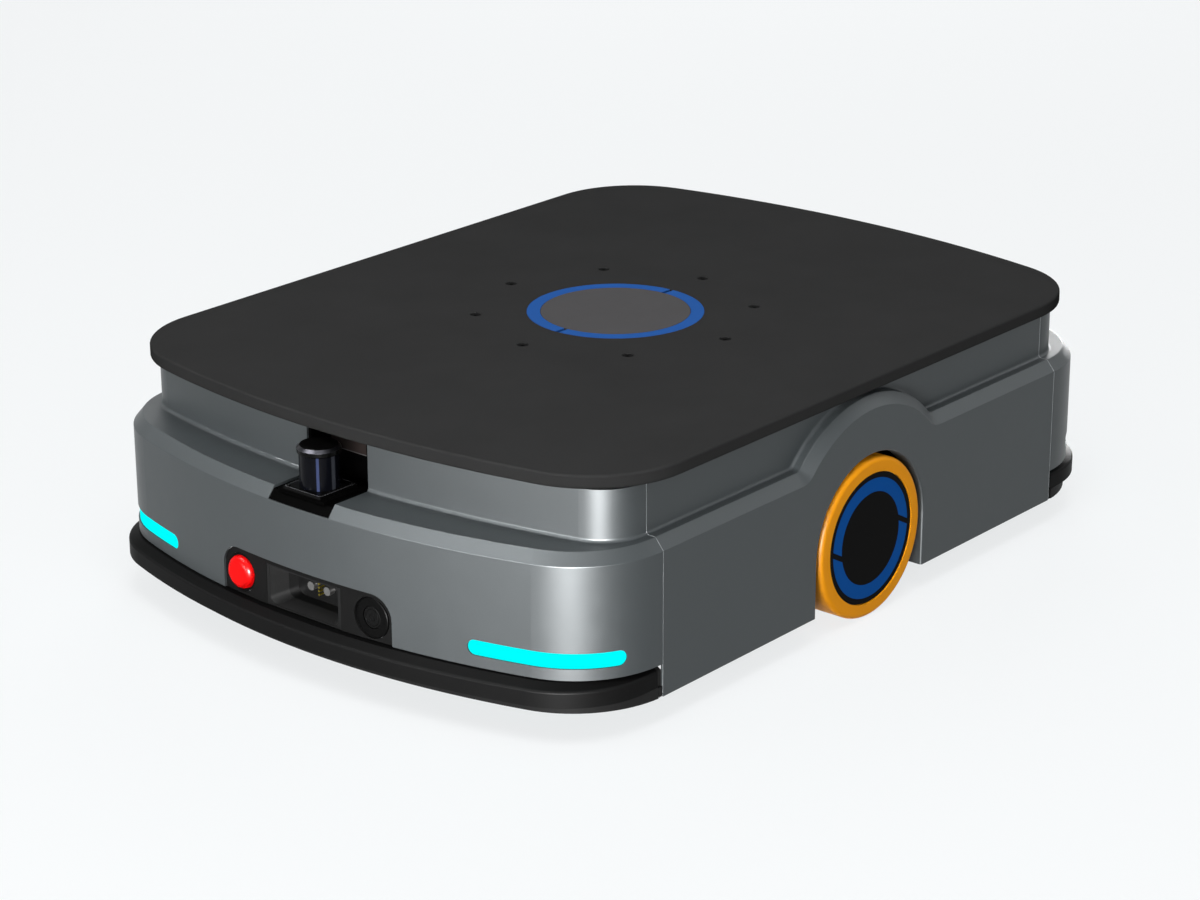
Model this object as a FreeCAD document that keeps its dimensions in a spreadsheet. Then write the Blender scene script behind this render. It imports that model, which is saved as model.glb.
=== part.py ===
import FreeCAD, Part
import math
import os
import Sketcher

# An autonomous mobile robot: a low, flat vehicle with a lifting and turning platform on top.
# Millimetres. The origin is on the floor under the middle of the robot; +X is the way it drives,
# +Y its left side, +Z up. Every size that can be set by itself is a row of this table.
SIZE_ROWS = (
    # platform
    ("platform_step", 36, "front cover's tip to the platform's tip"),
    ("platform_side_step", 1, "side cover's face to the platform's straight side"),
    ("platform_bow", 1180, "radius of the platform's bowed ends"),
    ("platform_corner", 108, "radius of the platform's corners"),
    ("platform_top", 257, "floor to the platform's top face, lowered"),
    ("platform_thick", 14, "thickness of the platform plate"),
    ("platform_edge", 2.5, "rounding of the platform's rim"),
    ("disc_radius", 79.2, "radius of the round cap in the middle"),
    ("ring_inner", 79.6, "inner radius of the coloured ring"),
    ("ring_outer", 93.7, "outer radius of the coloured ring"),
    ("inlay_depth", 4, "depth of the pocket that holds ring and cap"),
    ("inlay_gap", 0.3, "clearance round the ring and the cap"),
    ("ring_gap_angle", 3, "angle of each break in the ring, degrees"),
    ("fixing_circle", 147.5, "radius of the circle of platform screws"),
    ("fixing_count", 8, "number of platform screws"),
    ("screw_radius", 3, "radius of a screw's shank"),
    ("screw_head", 6, "radius of a screw's countersunk head"),
    ("screw_sink", 0.6, "depth of a screw head below the surface"),
    ("screw_clearance", 0.4, "clearance round a screw"),
    ("screw_bite", 12, "how deep a top cover screw goes into its post"),
    ("screw_cap", 3, "height of a top cover screw's head"),
    # covers
    ("shell_half_length", 474, "middle of the robot to the tip of the front cover"),
    ("shell_half_width", 337, "middle of the robot to the side cover's face"),
    ("shell_bow", 888, "radius of the bowed front and rear covers"),
    ("shell_corner", 105, "radius of the covers' corners"),
    ("cover_wall", 3, "thickness of the covers"),
    ("end_bottom", 61, "floor to the lower edge of the front and rear covers"),
    ("side_bottom", 27, "floor to the lower edge of the side covers"),
    ("shoulder_low", 175, "floor to the lower edge of the shoulder's bevel"),
    ("bevel_rise", 11.8, "height of the shoulder's bevel"),
    ("bevel_run", 9.8, "depth of the shoulder's bevel"),
    ("wall_inset", 19.5, "upper wall behind the platform's rim"),
    ("wall_corner", 50, "radius of the upper wall's corners"),
    ("wall_top", 239, "floor to the top of the upper wall"),
    ("foot_fillet", 3.5, "fillet where the upper wall meets the ledge"),
    ("foot_depth", 12, "how far the side cover's ledge runs in behind the upper wall"),
    ("crease_fillet", 1.5, "rounding of the bevel's two creases"),
    ("seam_back", 142.5, "front cover's tip back to the seam"),
    ("seam_gap", 0.8, "width of the seam"),
    # wheel arch
    ("arch_radius", 91, "radius of the opening round the drive wheel"),
    ("arch_lip", 3, "thickness of the lip that lines the opening"),
    ("arch_lip_depth", 16, "depth of that lip"),
    ("arch_edge", 2.2, "rounding of the opening's edge"),
    ("bulge_radius", 139, "radius of the bulge over the wheel"),
    ("bulge_blend", 22, "radius that blends the bulge into the shoulder"),
    # drive wheels
    ("wheel_radius", 85, "radius of the drive wheel"),
    ("wheel_width", 50, "width of the drive wheel"),
    ("wheel_proud", 0.5, "how far the wheel's face stands out of the side cover"),
    ("hub_radius", 70, "radius of the hub, where the tyre sits"),
    ("hub_rim", 8, "thickness of the hub's rim"),
    ("hub_web", 12, "thickness of the hub's web"),
    ("hub_boss", 26, "radius of the hub's boss"),
    ("hub_boss_height", 8, "how far the hub's boss stands out of its web"),
    ("hub_inset", 1, "depth of the hub behind the tyre's inner face"),
    ("tyre_shoulder", 5, "rounding of the tyre's shoulder"),
    ("cap_radius", 69.4, "radius of the hub's round cap"),
    ("cap_thick", 2.6, "thickness of that cap"),
    ("cap_edge", 0.8, "rounding of the cap's edge"),
    ("cap_inset", 1, "depth of the cap behind the tyre's face"),
    ("spigot_gap", 0.3, "clearance of the cap's spigot in the hub's rim"),
    ("spigot_wall", 4, "wall of that spigot"),
    ("spigot_length", 9, "length of that spigot"),
    ("axle_radius", 12, "radius of the drive motor's axle"),
    ("axle_end_gap", 1, "gap in front of the axle's end"),
    ("running_fit", 0.05, "radial clearance of a shaft in its bore"),
    ("motor_radius", 38, "radius of the drive motor"),
    ("motor_length", 100, "length of the drive motor"),
    # suspension
    ("arm_thick", 14, "thickness of the swing arm"),
    ("arm_height", 40, "height of the swing arm"),
    ("arm_drop", 10, "how far the arm's middle lies below the axle"),
    ("arm_nose", 14, "pivot to the rear end of the arm"),
    ("arm_tail", 113, "wheel axle to the spring end of the arm"),
    ("arm_hub", 32, "radius of the arm round the axle"),
    ("arm_gap", 1.5, "gap between the arm and its neighbours"),
    ("pivot_back", 125, "wheel axle back to the arm's pivot"),
    ("pivot_height", 70, "floor to the arm's pivot"),
    ("pivot_pin", 8, "radius of the pivot pin"),
    ("pin_overhang", 2, "how far a pivot pin stands out of its lugs"),
    ("lug_thick", 12, "thickness of a pivot lug"),
    ("lug_width", 30, "width of a pivot lug"),
    ("lug_bottom", 54, "floor to the underside of a pivot lug"),
    ("spring_at", 98, "wheel axle to the spring"),
    ("spring_radius", 12, "radius of the spring's coil"),
    ("spring_wire", 2, "radius of the spring's wire"),
    ("spring_turns", 6, "turns of the spring"),
    ("spring_top", 154, "floor to the top of the spring"),
    ("tower_leg", 8, "thickness of a spring tower's leg"),
    ("tower_width", 34, "width of a spring tower"),
    ("tower_plate", 6, "thickness of a spring tower's top"),
    ("tower_margin", 4, "how far that top reaches past the spring"),
    # casters
    ("caster_inset", 174, "front cover's tip back to a caster's swivel axis"),
    ("caster_side_inset", 107, "side cover's face in to a caster's swivel axis"),
    ("caster_radius", 37.5, "radius of a caster wheel"),
    ("caster_width", 30, "width of a caster wheel"),
    ("caster_tread", 4, "rounding of a caster's tread"),
    ("caster_trail", 28, "swivel axis back to the caster's axle"),
    ("caster_axle", 6, "radius of the caster's axle"),
    ("fork_gap", 1.5, "gap between a caster wheel and its fork"),
    ("fork_leg", 4, "thickness of a fork leg"),
    ("fork_leg_width", 26, "width of a fork leg"),
    ("fork_crown", 28, "radius of the fork's crown"),
    ("fork_crown_thick", 7, "thickness of the fork's crown"),
    ("kingpin_radius", 8, "radius of the kingpin"),
    ("bearing_radius", 20, "radius of the swivel bearing"),
    ("bearing_height", 7, "height of the swivel bearing"),
    ("swivel_gap", 0.3, "gap under the swivel bearing"),
    ("kingpin_bite", 3, "how far the kingpin reaches into the top plate"),
    ("caster_plate", 84, "length and width of a caster's top plate"),
    ("caster_plate_thick", 5, "thickness of a caster's top plate"),
    # chassis
    ("deck_under", 104, "floor to the underside of the deck"),
    ("deck_thick", 6, "thickness of the deck"),
    ("deck_inset", 42, "front cover's tip back to the deck's tip"),
    ("deck_side_inset", 37, "side cover's face in to the deck's side"),
    ("deck_corner", 80, "radius of the deck's corners"),
    ("well_depth", 172.5, "wheel's outer face in to the inner edge of a wheel well"),
    ("well_back", 100, "wheel axle to the rear edge of a wheel well"),
    ("well_front", 118, "wheel axle to the front edge of a wheel well"),
    ("tub_half_length", 226, "half length of the battery tub"),
    ("tub_gap", 15, "battery tub to the inner edge of a wheel well"),
    ("tub_floor", 30, "floor to the underside of the tub"),
    ("tub_wall", 4, "thickness of the tub"),
    ("beam_inset", 78.5, "bumper's tip back to the end beam"),
    ("beam_half_width", 155, "half width of the end beams"),
    ("beam_thick", 6, "thickness of the end beams"),
    ("beam_bottom", 34, "floor to the underside of the end beams"),
    ("post_inset", 144, "front cover's tip back to a top cover post"),
    ("post_side_inset", 147, "side cover's face in to a top cover post"),
    ("post_width", 20, "width of a top cover post"),
    ("top_cover_under", 200, "floor to the underside of the top cover"),
    ("top_cover_thick", 3, "thickness of the top cover"),
    ("top_cover_hole", 148, "radius of the top cover's middle opening"),
    ("top_cover_gap", 0.4, "clearance between the top cover and the walls"),
    ("slew_slot_gap", 6, "clearance round the turning motor in the top cover"),
    # bumpers
    ("bumper_proud", 14.5, "how far a bumper's tip stands out of the cover"),
    ("bumper_side_step", 2, "side cover's face to the bumper's side"),
    ("bumper_bow", 884, "radius of the bowed bumpers"),
    ("bumper_corner", 99, "radius of the bumpers' corners"),
    ("bumper_bottom", 27, "floor to the underside of a bumper"),
    ("bumper_lip", 38, "floor to the step above the bumper's lower lip"),
    ("lip_corner", 112, "radius of the corners of the bumper's lower lip"),
    ("bumper_brow", 54, "floor to the upper edge of the bumper's face"),
    ("bumper_top", 60, "floor to the bumper's top"),
    ("bumper_slope", 11, "depth of the slope above the bumper's face"),
    ("bumper_thick", 22, "thickness of a bumper"),
    ("bumper_edge", 2.5, "rounding of the bumper's edges"),
    ("bumper_gap", 6, "gap between a bumper's end and the side cover"),
    ("guide_radius", 5, "radius of a bumper's guide pin"),
    ("guide_y", 140, "middle of the robot to a guide pin"),
    ("guide_height", 44, "floor to a guide pin"),
    ("bumper_travel", 4, "travel of a bumper"),
    ("guide_boss", 9, "radius of the bumper's boss round a guide pin"),
    ("guide_boss_length", 20, "length of that boss"),
    ("boss_bite", 4, "how far that boss reaches into the bumper"),
    ("boss_end_wall", 1, "wall that closes the boss"),
    ("guide_end_gap", 1, "gap left at a pin when the bumper is pressed right in"),
    # lights
    ("light_height", 15.5, "height of a light strip"),
    ("light_middle", 80.5, "floor to the middle of a light strip"),
    ("light_recess", 1.5, "depth of the strip's face behind the cover"),
    ("light_thick", 3.5, "thickness of a light strip"),
    ("light_inset", 131, "side cover's face in to the strip's inner round end"),
    ("light_outer_turn", 63, "where on the corner the strip's outer round end is, degrees"),
    ("light_gap", 0.2, "clearance round a light strip"),
    # front panel
    ("panel_half_width", 115, "half width of the dark front panel"),
    ("panel_top", 110, "floor to the top of the front panel"),
    ("panel_corner", 24, "radius of the panel's upper corners"),
    ("panel_recess", 2.5, "depth of the panel's face behind the cover"),
    ("panel_thick", 3, "thickness of the panel"),
    ("panel_gap", 0.3, "clearance round what sits in the panel"),
    ("socket_half_width", 50.5, "half width of the charging socket's body"),
    ("socket_top", 104.5, "floor to the top of the socket's body"),
    ("socket_depth", 33.8, "length of the socket's body"),
    ("socket_recess", 4.2, "depth of the socket's mouth behind the cover's tip"),
    ("socket_wall", 3.2, "wall of the socket at its mouth"),
    ("socket_back_wall", 6, "thickness of the socket's back"),
    ("socket_throat_half", 35, "half width of the socket's throat"),
    ("socket_throat_low", 68, "floor to the lower edge of the throat"),
    ("socket_throat_high", 91, "floor to the upper edge of the throat"),
    ("socket_corner", 9, "rounding of the funnel's lower corners"),
    ("stud_radius", 4.5, "radius of a charging stud"),
    ("stud_spread", 11, "middle of the socket to a charging stud"),
    ("stud_height", 84, "floor to the charging studs"),
    ("stud_length", 7, "length of a charging stud"),
    ("contact_radius", 1.2, "radius of a signal contact"),
    ("contact_pitch", 3.8, "spacing of the signal contacts"),
    ("contact_top", 89, "floor to the topmost signal contact"),
    ("contact_count", 4, "number of signal contacts"),
    ("control_y", 89, "middle of the robot to the stop button and to the power switch"),
    ("control_height", 84, "floor to the middle of both"),
    ("control_length", 25.8, "length of the controls' bodies"),
    ("control_recess", 7.2, "depth of both controls behind the cover's tip"),
    ("stop_body", 20, "radius of the stop button's body"),
    ("stop_button", 17.4, "radius of the stop button"),
    ("stop_stem", 6, "radius of the stop button's stem"),
    ("stop_proud", 6.5, "how far the stop button stands out"),
    ("stop_travel", 5, "travel of the stop button"),
    ("stop_skirt", 2.5, "how far the stop button reaches into its body"),
    ("press_gap", 0.5, "gap left under a button that is pressed right in"),
    ("stop_dome", 7.5, "rounding of the stop button"),
    ("power_body", 21, "radius of the power switch's ring"),
    ("power_button", 11.2, "radius of the power button"),
    ("power_travel", 2, "travel of the power button"),
    ("power_rim", 1.5, "rounding of the power switch's ring"),
    ("power_edge", 1, "rounding of the power button"),
    ("power_floor", 4, "thickness of the power switch's floor"),
    ("power_sink", 0.5, "depth of the power button in its ring"),
    # scanner
    ("notch_half_width", 41, "half width of the scanner's notch"),
    ("notch_depth", 51, "scanner's axis back to the back of the notch"),
    ("scanner_inset", 32, "front cover's tip back to the scanner's axis"),
    ("tray_top", 184, "floor to the bracket's tray"),
    ("tray_gap", 0.4, "clearance between the bracket and the cover"),
    ("seat_top", 187.5, "floor to the bracket's raised seat"),
    ("seat_half_width", 31, "half width of that seat"),
    ("seat_length", 62, "length of that seat"),
    ("seat_back", 5, "how far the seat's middle lies behind the scanner"),
    ("bracket_drop", 3, "top of the bracket's walls below the upper wall"),
    ("bracket_side", 24, "length of the bracket's side walls"),
    ("scanner_base", 50, "length and width of the scanner's base"),
    ("scanner_base_thick", 3.5, "thickness of the scanner's base"),
    ("base_screw", 2, "radius of a screw head on the scanner's base"),
    ("base_screw_height", 1.2, "height of that screw head"),
    ("base_screw_at", 21.5, "scanner's axis to that screw, each way"),
    ("scanner_radius", 20, "radius of the scanner's window"),
    ("scanner_wall", 1.6, "wall of the scanner's window"),
    ("window_top", 224.5, "floor to the top of the window"),
    ("cap_flare_top", 226, "floor to the top of the cap's flare"),
    ("cap_side_top", 230, "floor to the top of the cap's side"),
    ("cap_top", 233, "floor to the top of the scanner"),
    ("scanner_cap", 21.6, "radius of the scanner's cap"),
    ("cap_bevel", 3, "width of the bevel round the cap's top"),
    ("rotor_radius", 13, "radius of the spinning head inside the scanner"),
    ("rotor_boss", 4, "radius of the boss under the spinning head"),
    ("rotor_boss_height", 2, "height of that boss"),
    ("rotor_gap", 0.3, "gap between that boss and the spinning head"),
    ("rotor_headroom", 2.7, "gap above the spinning head"),
    ("mirror_low", 5, "base to the lower edge of the spinning mirror"),
    ("mirror_height", 12, "height of the spinning mirror"),
    # lift
    ("lift_travel", 60, "travel of the platform"),
    ("column_radius", 70, "outer radius of the lifting column"),
    ("column_wall", 14, "wall of the lifting column"),
    ("column_crown", 5, "thickness of the column's closed top"),
    ("column_clearance", 2.5, "clearance round the column"),
    ("shaft_clearance", 3, "clearance round the lift motor's shaft in the deck"),
    ("shaft_overhang", 2, "how far that shaft stands out of its pinion"),
    ("motor_floor_gap", 2, "gap under the lift motor"),
    ("column_bottom", 60, "floor to the lower end of the column"),
    ("head_radius", 142, "radius of the column's head"),
    ("head_thick", 12, "thickness of the column's head"),
    ("bearing_gap", 0.3, "gap in the platform's turning bearing"),
    ("post_circle", 125, "middle of the robot to a guide post"),
    ("post_radius", 9, "radius of a guide post"),
    ("post_engagement", 25, "how far a guide post stays in its sleeve, lifted"),
    ("sleeve_radius", 14, "radius of the sleeve round a guide post"),
    ("sleeve_bottom", 141, "floor to the lower end of a sleeve"),
    ("sleeve_crown", 2, "thickness that closes a sleeve at the top"),
    ("nut_module", 3, "module of the lifting gears"),
    ("nut_teeth", 60, "teeth of the nut gear"),
    ("lift_pinion_teeth", 18, "teeth of the lifting pinion"),
    ("nut_gear_height", 14, "face width of the lifting gears"),
    ("housing_radius", 101, "outer radius of the lift's housing"),
    ("housing_plate", 6, "thickness of the housing's rings"),
    ("pillar_radius", 3, "radius of a pillar of the housing"),
    ("pillar_inset", 0.3, "pillar's side to the housing's rim"),
    ("gear_backlash", 0.15, "extra centre distance of meshing gears"),
    ("gear_gap", 0.4, "gap beside a gear"),
    ("lift_motor_radius", 38, "radius of the lift motor"),
    ("lift_shaft", 8, "radius of the lift motor's shaft"),
    ("slew_module", 4, "module of the turning gears"),
    ("slew_teeth", 81, "teeth of the turning ring"),
    ("slew_pinion_teeth", 16, "teeth of the turning pinion"),
    ("slew_ring_bore", 128, "bore of the turning ring"),
    ("slew_ring_thick", 12, "thickness of the turning ring"),
    ("slew_motor_radius", 30, "radius of the turning motor"),
    ("slew_motor_length", 78, "length of the turning motor"),
    ("slew_shaft", 7, "radius of the turning motor's shaft"),
    ("slew_arm_margin", 4, "how far the column's arm reaches past the turning motor"),
    # electronics
    ("battery_length", 130, "length of the battery"),
    ("battery_side_gap", 4, "gap between the battery and the tub's side"),
    ("battery_height", 62, "height of the battery"),
    ("computer_length", 90, "length of the control computer"),
    ("computer_width", 170, "width of the control computer"),
    ("computer_height", 46, "height of the control computer"),
    ("driver_length", 60, "length of the motor driver"),
    ("driver_side_gap", 26, "gap between the motor driver and the tub's side"),
    ("driver_height", 54, "height of the motor driver"),
    ("tray_margin", 2, "gap between the tub's ends and what stands in it"),
    ("computer_inset", 50, "top cover post in to the computer's middle"),
)

PRESSURE_ANGLE = math.radians(20)
FAR = 700          # reaches past the whole robot, for cutting blocks
OVERSHOOT = 1      # how far a cutting piece runs past the face that it cuts
CLOSE = 0.01       # two points nearer than this are one
DEDENDUM = 1.25    # depth of a gear tooth below the pitch circle, in modules
SLOT_REACH = 25    # how far a light's slot is cut to either side of the cover's face

doc = FreeCAD.newDocument("autonomous_mobile_robot")
finished = []


class Dim:
    """A length that knows its number and its formula on the sheet."""

    def __init__(self, number, formula=None):
        self.number = float(number)
        self.formula = formula if formula else f"({self.number})"

    def __add__(self, other):
        other = as_dim(other)
        return Dim(self.number + other.number, f"({self.formula} + {other.formula})")

    def __sub__(self, other):
        other = as_dim(other)
        return Dim(self.number - other.number, f"({self.formula} - {other.formula})")

    def __mul__(self, other):
        other = as_dim(other)
        return Dim(self.number * other.number, f"({self.formula} * {other.formula})")

    def __truediv__(self, other):
        other = as_dim(other)
        return Dim(self.number / other.number, f"({self.formula} / {other.formula})")

    def __radd__(self, other):
        return as_dim(other) + self

    def __rsub__(self, other):
        return as_dim(other) - self

    def __rmul__(self, other):
        return as_dim(other) * self

    def __neg__(self):
        return Dim(-self.number, f"(-{self.formula})")


def as_dim(value):
    """A plain number as a Dim; a Dim stays as it is."""
    return value if isinstance(value, Dim) else Dim(value)


class Sheet:
    """The table of driving sizes: sheet.wheel_radius is the Dim of that cell."""

    def __init__(self):
        self.cells = doc.addObject("Spreadsheet::Sheet", "Sizes")
        for row, (alias, value, meaning) in enumerate(SIZE_ROWS, start=1):
            self.cells.set(f"A{row}", meaning)
            self.cells.set(f"B{row}", str(value))
            self.cells.setAlias(f"B{row}", alias)
        doc.recompute()

    def __getattr__(self, alias):
        return Dim(self.cells.get(alias), f"Sizes.{alias}")


size = Sheet()

# places that keep to the covers when the covers change
platform_half_length = size.shell_half_length - size.platform_step
platform_half_width = size.shell_half_width - size.platform_side_step
bumper_half_length = size.shell_half_length + size.bumper_proud
bumper_half_width = size.shell_half_width - size.bumper_side_step
wheel_face = size.shell_half_width + size.wheel_proud
seam_at = size.shell_half_length - size.seam_back
caster_x = size.shell_half_length - size.caster_inset
caster_y = size.shell_half_width - size.caster_side_inset
deck_half_length = size.shell_half_length - size.deck_inset
deck_half_width = size.shell_half_width - size.deck_side_inset
post_x = size.shell_half_length - size.post_inset
post_y = size.shell_half_width - size.post_side_inset
beam_at = bumper_half_length - size.beam_inset
well_inner = wheel_face - size.well_depth
tub_half_width = well_inner - size.tub_gap
battery_width = 2 * (tub_half_width - size.tub_wall - size.battery_side_gap)
driver_width = 2 * (tub_half_width - size.tub_wall - size.driver_side_gap)
computer_back = post_x - size.computer_inset
light_inner_end = size.shell_half_width - size.light_inset
socket_front = size.shell_half_length - size.socket_recess
socket_back = socket_front - size.socket_depth
control_front = size.shell_half_length - size.control_recess
control_back = control_front - size.control_length
scanner_x = size.shell_half_length - size.scanner_inset
notch_back = scanner_x - size.notch_depth

TURNED = {
    "z": FreeCAD.Rotation(),
    "x": FreeCAD.Rotation(FreeCAD.Vector(0, 1, 0), 90),
    "y": FreeCAD.Rotation(FreeCAD.Vector(1, 0, 0), -90),
}


# ---- primitives, each size bound to the sheet ----

def bind(item, prop, value):
    """Bind one property to a formula, or set it where the value is a bare number."""
    item.setExpression(prop, as_dim(value).formula)


def place(item, at, axis="z"):
    """Put an object's own origin at a point, with its Z axis along the named axis."""
    item.Placement = FreeCAD.Placement(FreeCAD.Vector(*[as_dim(v).number for v in at]), TURNED[axis])
    for letter, value in zip("xyz", at):
        bind(item, f"Placement.Base.{letter}", value)
    return item


def block(sizes, at):
    """A box with its middle over a point in plan and its underside at that point's height."""
    item = doc.addObject("Part::Box", "block")
    for prop, value in zip(("Length", "Width", "Height"), sizes):
        bind(item, prop, value)
    corner = (at[0] - as_dim(sizes[0]) / 2, at[1] - as_dim(sizes[1]) / 2, at[2])
    return place(item, corner)


def span(low, high):
    """A box from its lowest corner to its highest corner."""
    item = doc.addObject("Part::Box", "span")
    for prop, start, end in zip(("Length", "Width", "Height"), low, high):
        bind(item, prop, as_dim(end) - start)
    return place(item, low)


def cylinder(radius, height, at, axis="z"):
    """A cylinder that starts at a point and runs along the named axis."""
    item = doc.addObject("Part::Cylinder", "cylinder")
    bind(item, "Radius", radius)
    bind(item, "Height", height)
    return place(item, at, axis)


def cone(low_radius, high_radius, height, at, axis="z"):
    """A cone that starts at a point and runs along the named axis."""
    item = doc.addObject("Part::Cone", "cone")
    bind(item, "Radius1", low_radius)
    bind(item, "Radius2", high_radius)
    bind(item, "Height", height)
    return place(item, at, axis)


def fuse(*pieces):
    """Several touching objects as one."""
    item = doc.addObject("Part::MultiFuse", "fused")
    item.Shapes = list(pieces)
    return item


def cut(base, *tools):
    """An object with others taken out of it."""
    item = doc.addObject("Part::Cut", "cut")
    item.Base = base
    item.Tool = tools[0] if len(tools) == 1 else fuse(*tools)
    return item


def common(first, second):
    """What two objects share."""
    item = doc.addObject("Part::Common", "shared")
    item.Base = first
    item.Tool = second
    return item


def tube(outer, inner, height, at, axis="z"):
    """A round tube; the hole runs past both ends."""
    letter = "xyz".index(axis)
    below = list(at)
    below[letter] = as_dim(at[letter]) - OVERSHOOT
    hole = cylinder(inner, as_dim(height) + 2 * OVERSHOOT, below, axis)
    return cut(cylinder(outer, height, at, axis), hole)


def mirrored(item, normal):
    """The mirror image of an object in a plane through the origin."""
    image = doc.addObject("Part::Mirroring", "mirrored")
    image.Source = item
    image.Normal = FreeCAD.Vector(*normal)
    return image


def group(*pieces):
    """Separate solids that share one node."""
    item = doc.addObject("Part::Compound", "group")
    item.Links = list(pieces)
    return item


def rounded(item, *choices):
    """An object with fillets: each choice is a radius and a test that picks its edges."""
    doc.recompute()
    fillet = doc.addObject("Part::Fillet", "rounded")
    fillet.Base = item
    picked = []
    for radius, chosen in choices:
        number = as_dim(radius).number
        for index, edge in enumerate(item.Shape.Edges, start=1):
            if chosen(edge):
                picked.append((index, number, number))
    fillet.Edges = picked
    return fillet


def finish(label, item):
    """Give a finished sub-part its name."""
    item.Label = label
    finished.append(item)
    return item


def middle(edge):
    """The point half way along an edge."""
    return edge.valueAt((edge.FirstParameter + edge.LastParameter) / 2)


def circle_at(axis, value, radius):
    """A test for round edges of one radius in the plane where a coordinate has one value."""
    letter = "xyz".index(axis)
    place_on_axis = as_dim(value).number
    wanted = as_dim(radius).number

    def chosen(edge):
        if not isinstance(edge.Curve, Part.Circle):
            return False
        same_radius = abs(edge.Curve.Radius - wanted) < CLOSE
        return same_radius and abs(edge.Curve.Center[letter] - place_on_axis) < CLOSE
    return chosen


# ---- sketches and bodies ----

def new_body(name):
    """An empty PartDesign body."""
    return doc.addObject("PartDesign::Body", name)


def sketch_on(body, role, offset):
    """A sketch on one of the body's own planes, moved along that plane's normal."""
    plane = [item for item in body.Origin.OriginFeatures if item.Role == role][0]
    sketch = body.newObject("Sketcher::SketchObject", "sketch")
    sketch.AttachmentSupport = [(plane, "")]
    sketch.MapMode = "FlatFace"
    bind(sketch, "AttachmentOffset.Base.z", offset)
    return sketch


def name_constraint(sketch, constraint, name, value):
    """Add a dimension to a sketch and bind it to the sheet."""
    index = sketch.addConstraint(constraint)
    sketch.renameConstraint(index, name)
    sketch.setExpression(f"Constraints.{name}", as_dim(value).formula)


def join_loop(sketch, kinds):
    """Join each sketch element's end to the next one's start, by a corner or a tangent."""
    for index, kind in enumerate(kinds):
        following = (index + 1) % len(kinds)
        sketch.addConstraint(Sketcher.Constraint(kind, index, 2, following, 1))


def arc(centre_x, centre_y, radius, start, end):
    """A counter-clockwise arc in a sketch."""
    circle = Part.Circle(FreeCAD.Vector(centre_x, centre_y, 0), FreeCAD.Vector(0, 0, 1), radius)
    return Part.ArcOfCircle(circle, start, end)


def line(x_start, y_start, x_end, y_end):
    """A straight sketch element."""
    return Part.LineSegment(FreeCAD.Vector(x_start, y_start, 0), FreeCAD.Vector(x_end, y_end, 0))


class Outline:
    """A rectangle with bowed ends and round corners, seen from above."""

    def __init__(self, half_length, half_width, bow, corner):
        self.half_length = half_length
        self.half_width = half_width
        self.bow = bow
        self.corner = corner

    def inset(self, depth):
        """The same outline, moved inwards all round."""
        return Outline(self.half_length - depth, self.half_width - depth,
                       self.bow - depth, self.corner - depth)

    def numbers(self):
        """The bow's centre, the corner's centre and the angle of the bow's end."""
        bow_x = self.half_length.number - self.bow.number
        corner_y = self.half_width.number - self.corner.number
        reach = self.bow.number - self.corner.number
        corner_x = bow_x + math.sqrt(reach ** 2 - corner_y ** 2)
        return bow_x, corner_x, corner_y, math.atan2(corner_y, corner_x - bow_x)

    def draw(self, body, height):
        """A fully dimensioned sketch of the outline at one height."""
        bow_x, corner_x, corner_y, turn = self.numbers()
        side = self.half_width.number
        bow = self.bow.number
        corner = self.corner.number
        sketch = sketch_on(body, "XY_Plane", height)
        sketch.addGeometry([
            arc(bow_x, 0, bow, -turn, turn),
            arc(corner_x, corner_y, corner, turn, math.pi / 2),
            line(corner_x, side, -corner_x, side),
            arc(-corner_x, corner_y, corner, math.pi / 2, math.pi - turn),
            arc(-bow_x, 0, bow, math.pi - turn, math.pi + turn),
            arc(-corner_x, -corner_y, corner, math.pi + turn, 1.5 * math.pi),
            line(-corner_x, -side, corner_x, -side),
            arc(corner_x, -corner_y, corner, 1.5 * math.pi, 2 * math.pi - turn),
        ], False)
        join_loop(sketch, ["Tangent"] * 8)
        for bowed in (0, 4):
            sketch.addConstraint(Sketcher.Constraint("PointOnObject", bowed, 3, -1))
        for straight in (2, 6):
            sketch.addConstraint(Sketcher.Constraint("Horizontal", straight))
        make = Sketcher.Constraint
        centre = self.bow - self.half_length
        name_constraint(sketch, make("Radius", 0, bow), "front_bow", self.bow)
        name_constraint(sketch, make("Radius", 4, bow), "rear_bow", self.bow)
        name_constraint(sketch, make("DistanceX", 0, 3, -1, 1, centre.number), "front_centre", centre)
        name_constraint(sketch, make("DistanceX", -1, 1, 4, 3, centre.number), "rear_centre", centre)
        for number, element in enumerate((1, 3, 5, 7), start=1):
            name_constraint(sketch, make("Radius", element, corner), f"corner_{number}", self.corner)
        name_constraint(sketch, make("DistanceY", -1, 1, 2, 1, side), "left_side", self.half_width)
        name_constraint(sketch, make("DistanceY", 6, 1, -1, 1, side), "right_side", self.half_width)
        return sketch

    def wire(self, height):
        """The outline as plain edges, to tell which edges of a solid lie on it."""
        bow_x, corner_x, corner_y, turn = self.numbers()
        side = self.half_width.number
        front = [
            arc(bow_x, 0, self.bow.number, -turn, turn),
            arc(corner_x, corner_y, self.corner.number, turn, math.pi / 2),
            line(corner_x, side, -corner_x, side),
            arc(-corner_x, corner_y, self.corner.number, math.pi / 2, math.pi - turn),
        ]
        half = Part.Compound([curve.toShape() for curve in front])
        other = half.copy()
        other.rotate(FreeCAD.Vector(), FreeCAD.Vector(0, 0, 1), 180)
        whole = Part.Compound([half, other])
        whole.translate(FreeCAD.Vector(0, 0, as_dim(height).number))
        return whole


def lies_on(wire):
    """A test for edges that lie on a set of curves."""
    def chosen(edge):
        points = (middle(edge), edge.Vertexes[0].Point, edge.Vertexes[-1].Point)
        return all(wire.distToShape(Part.Vertex(point))[0] < CLOSE for point in points)
    return chosen


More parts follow.
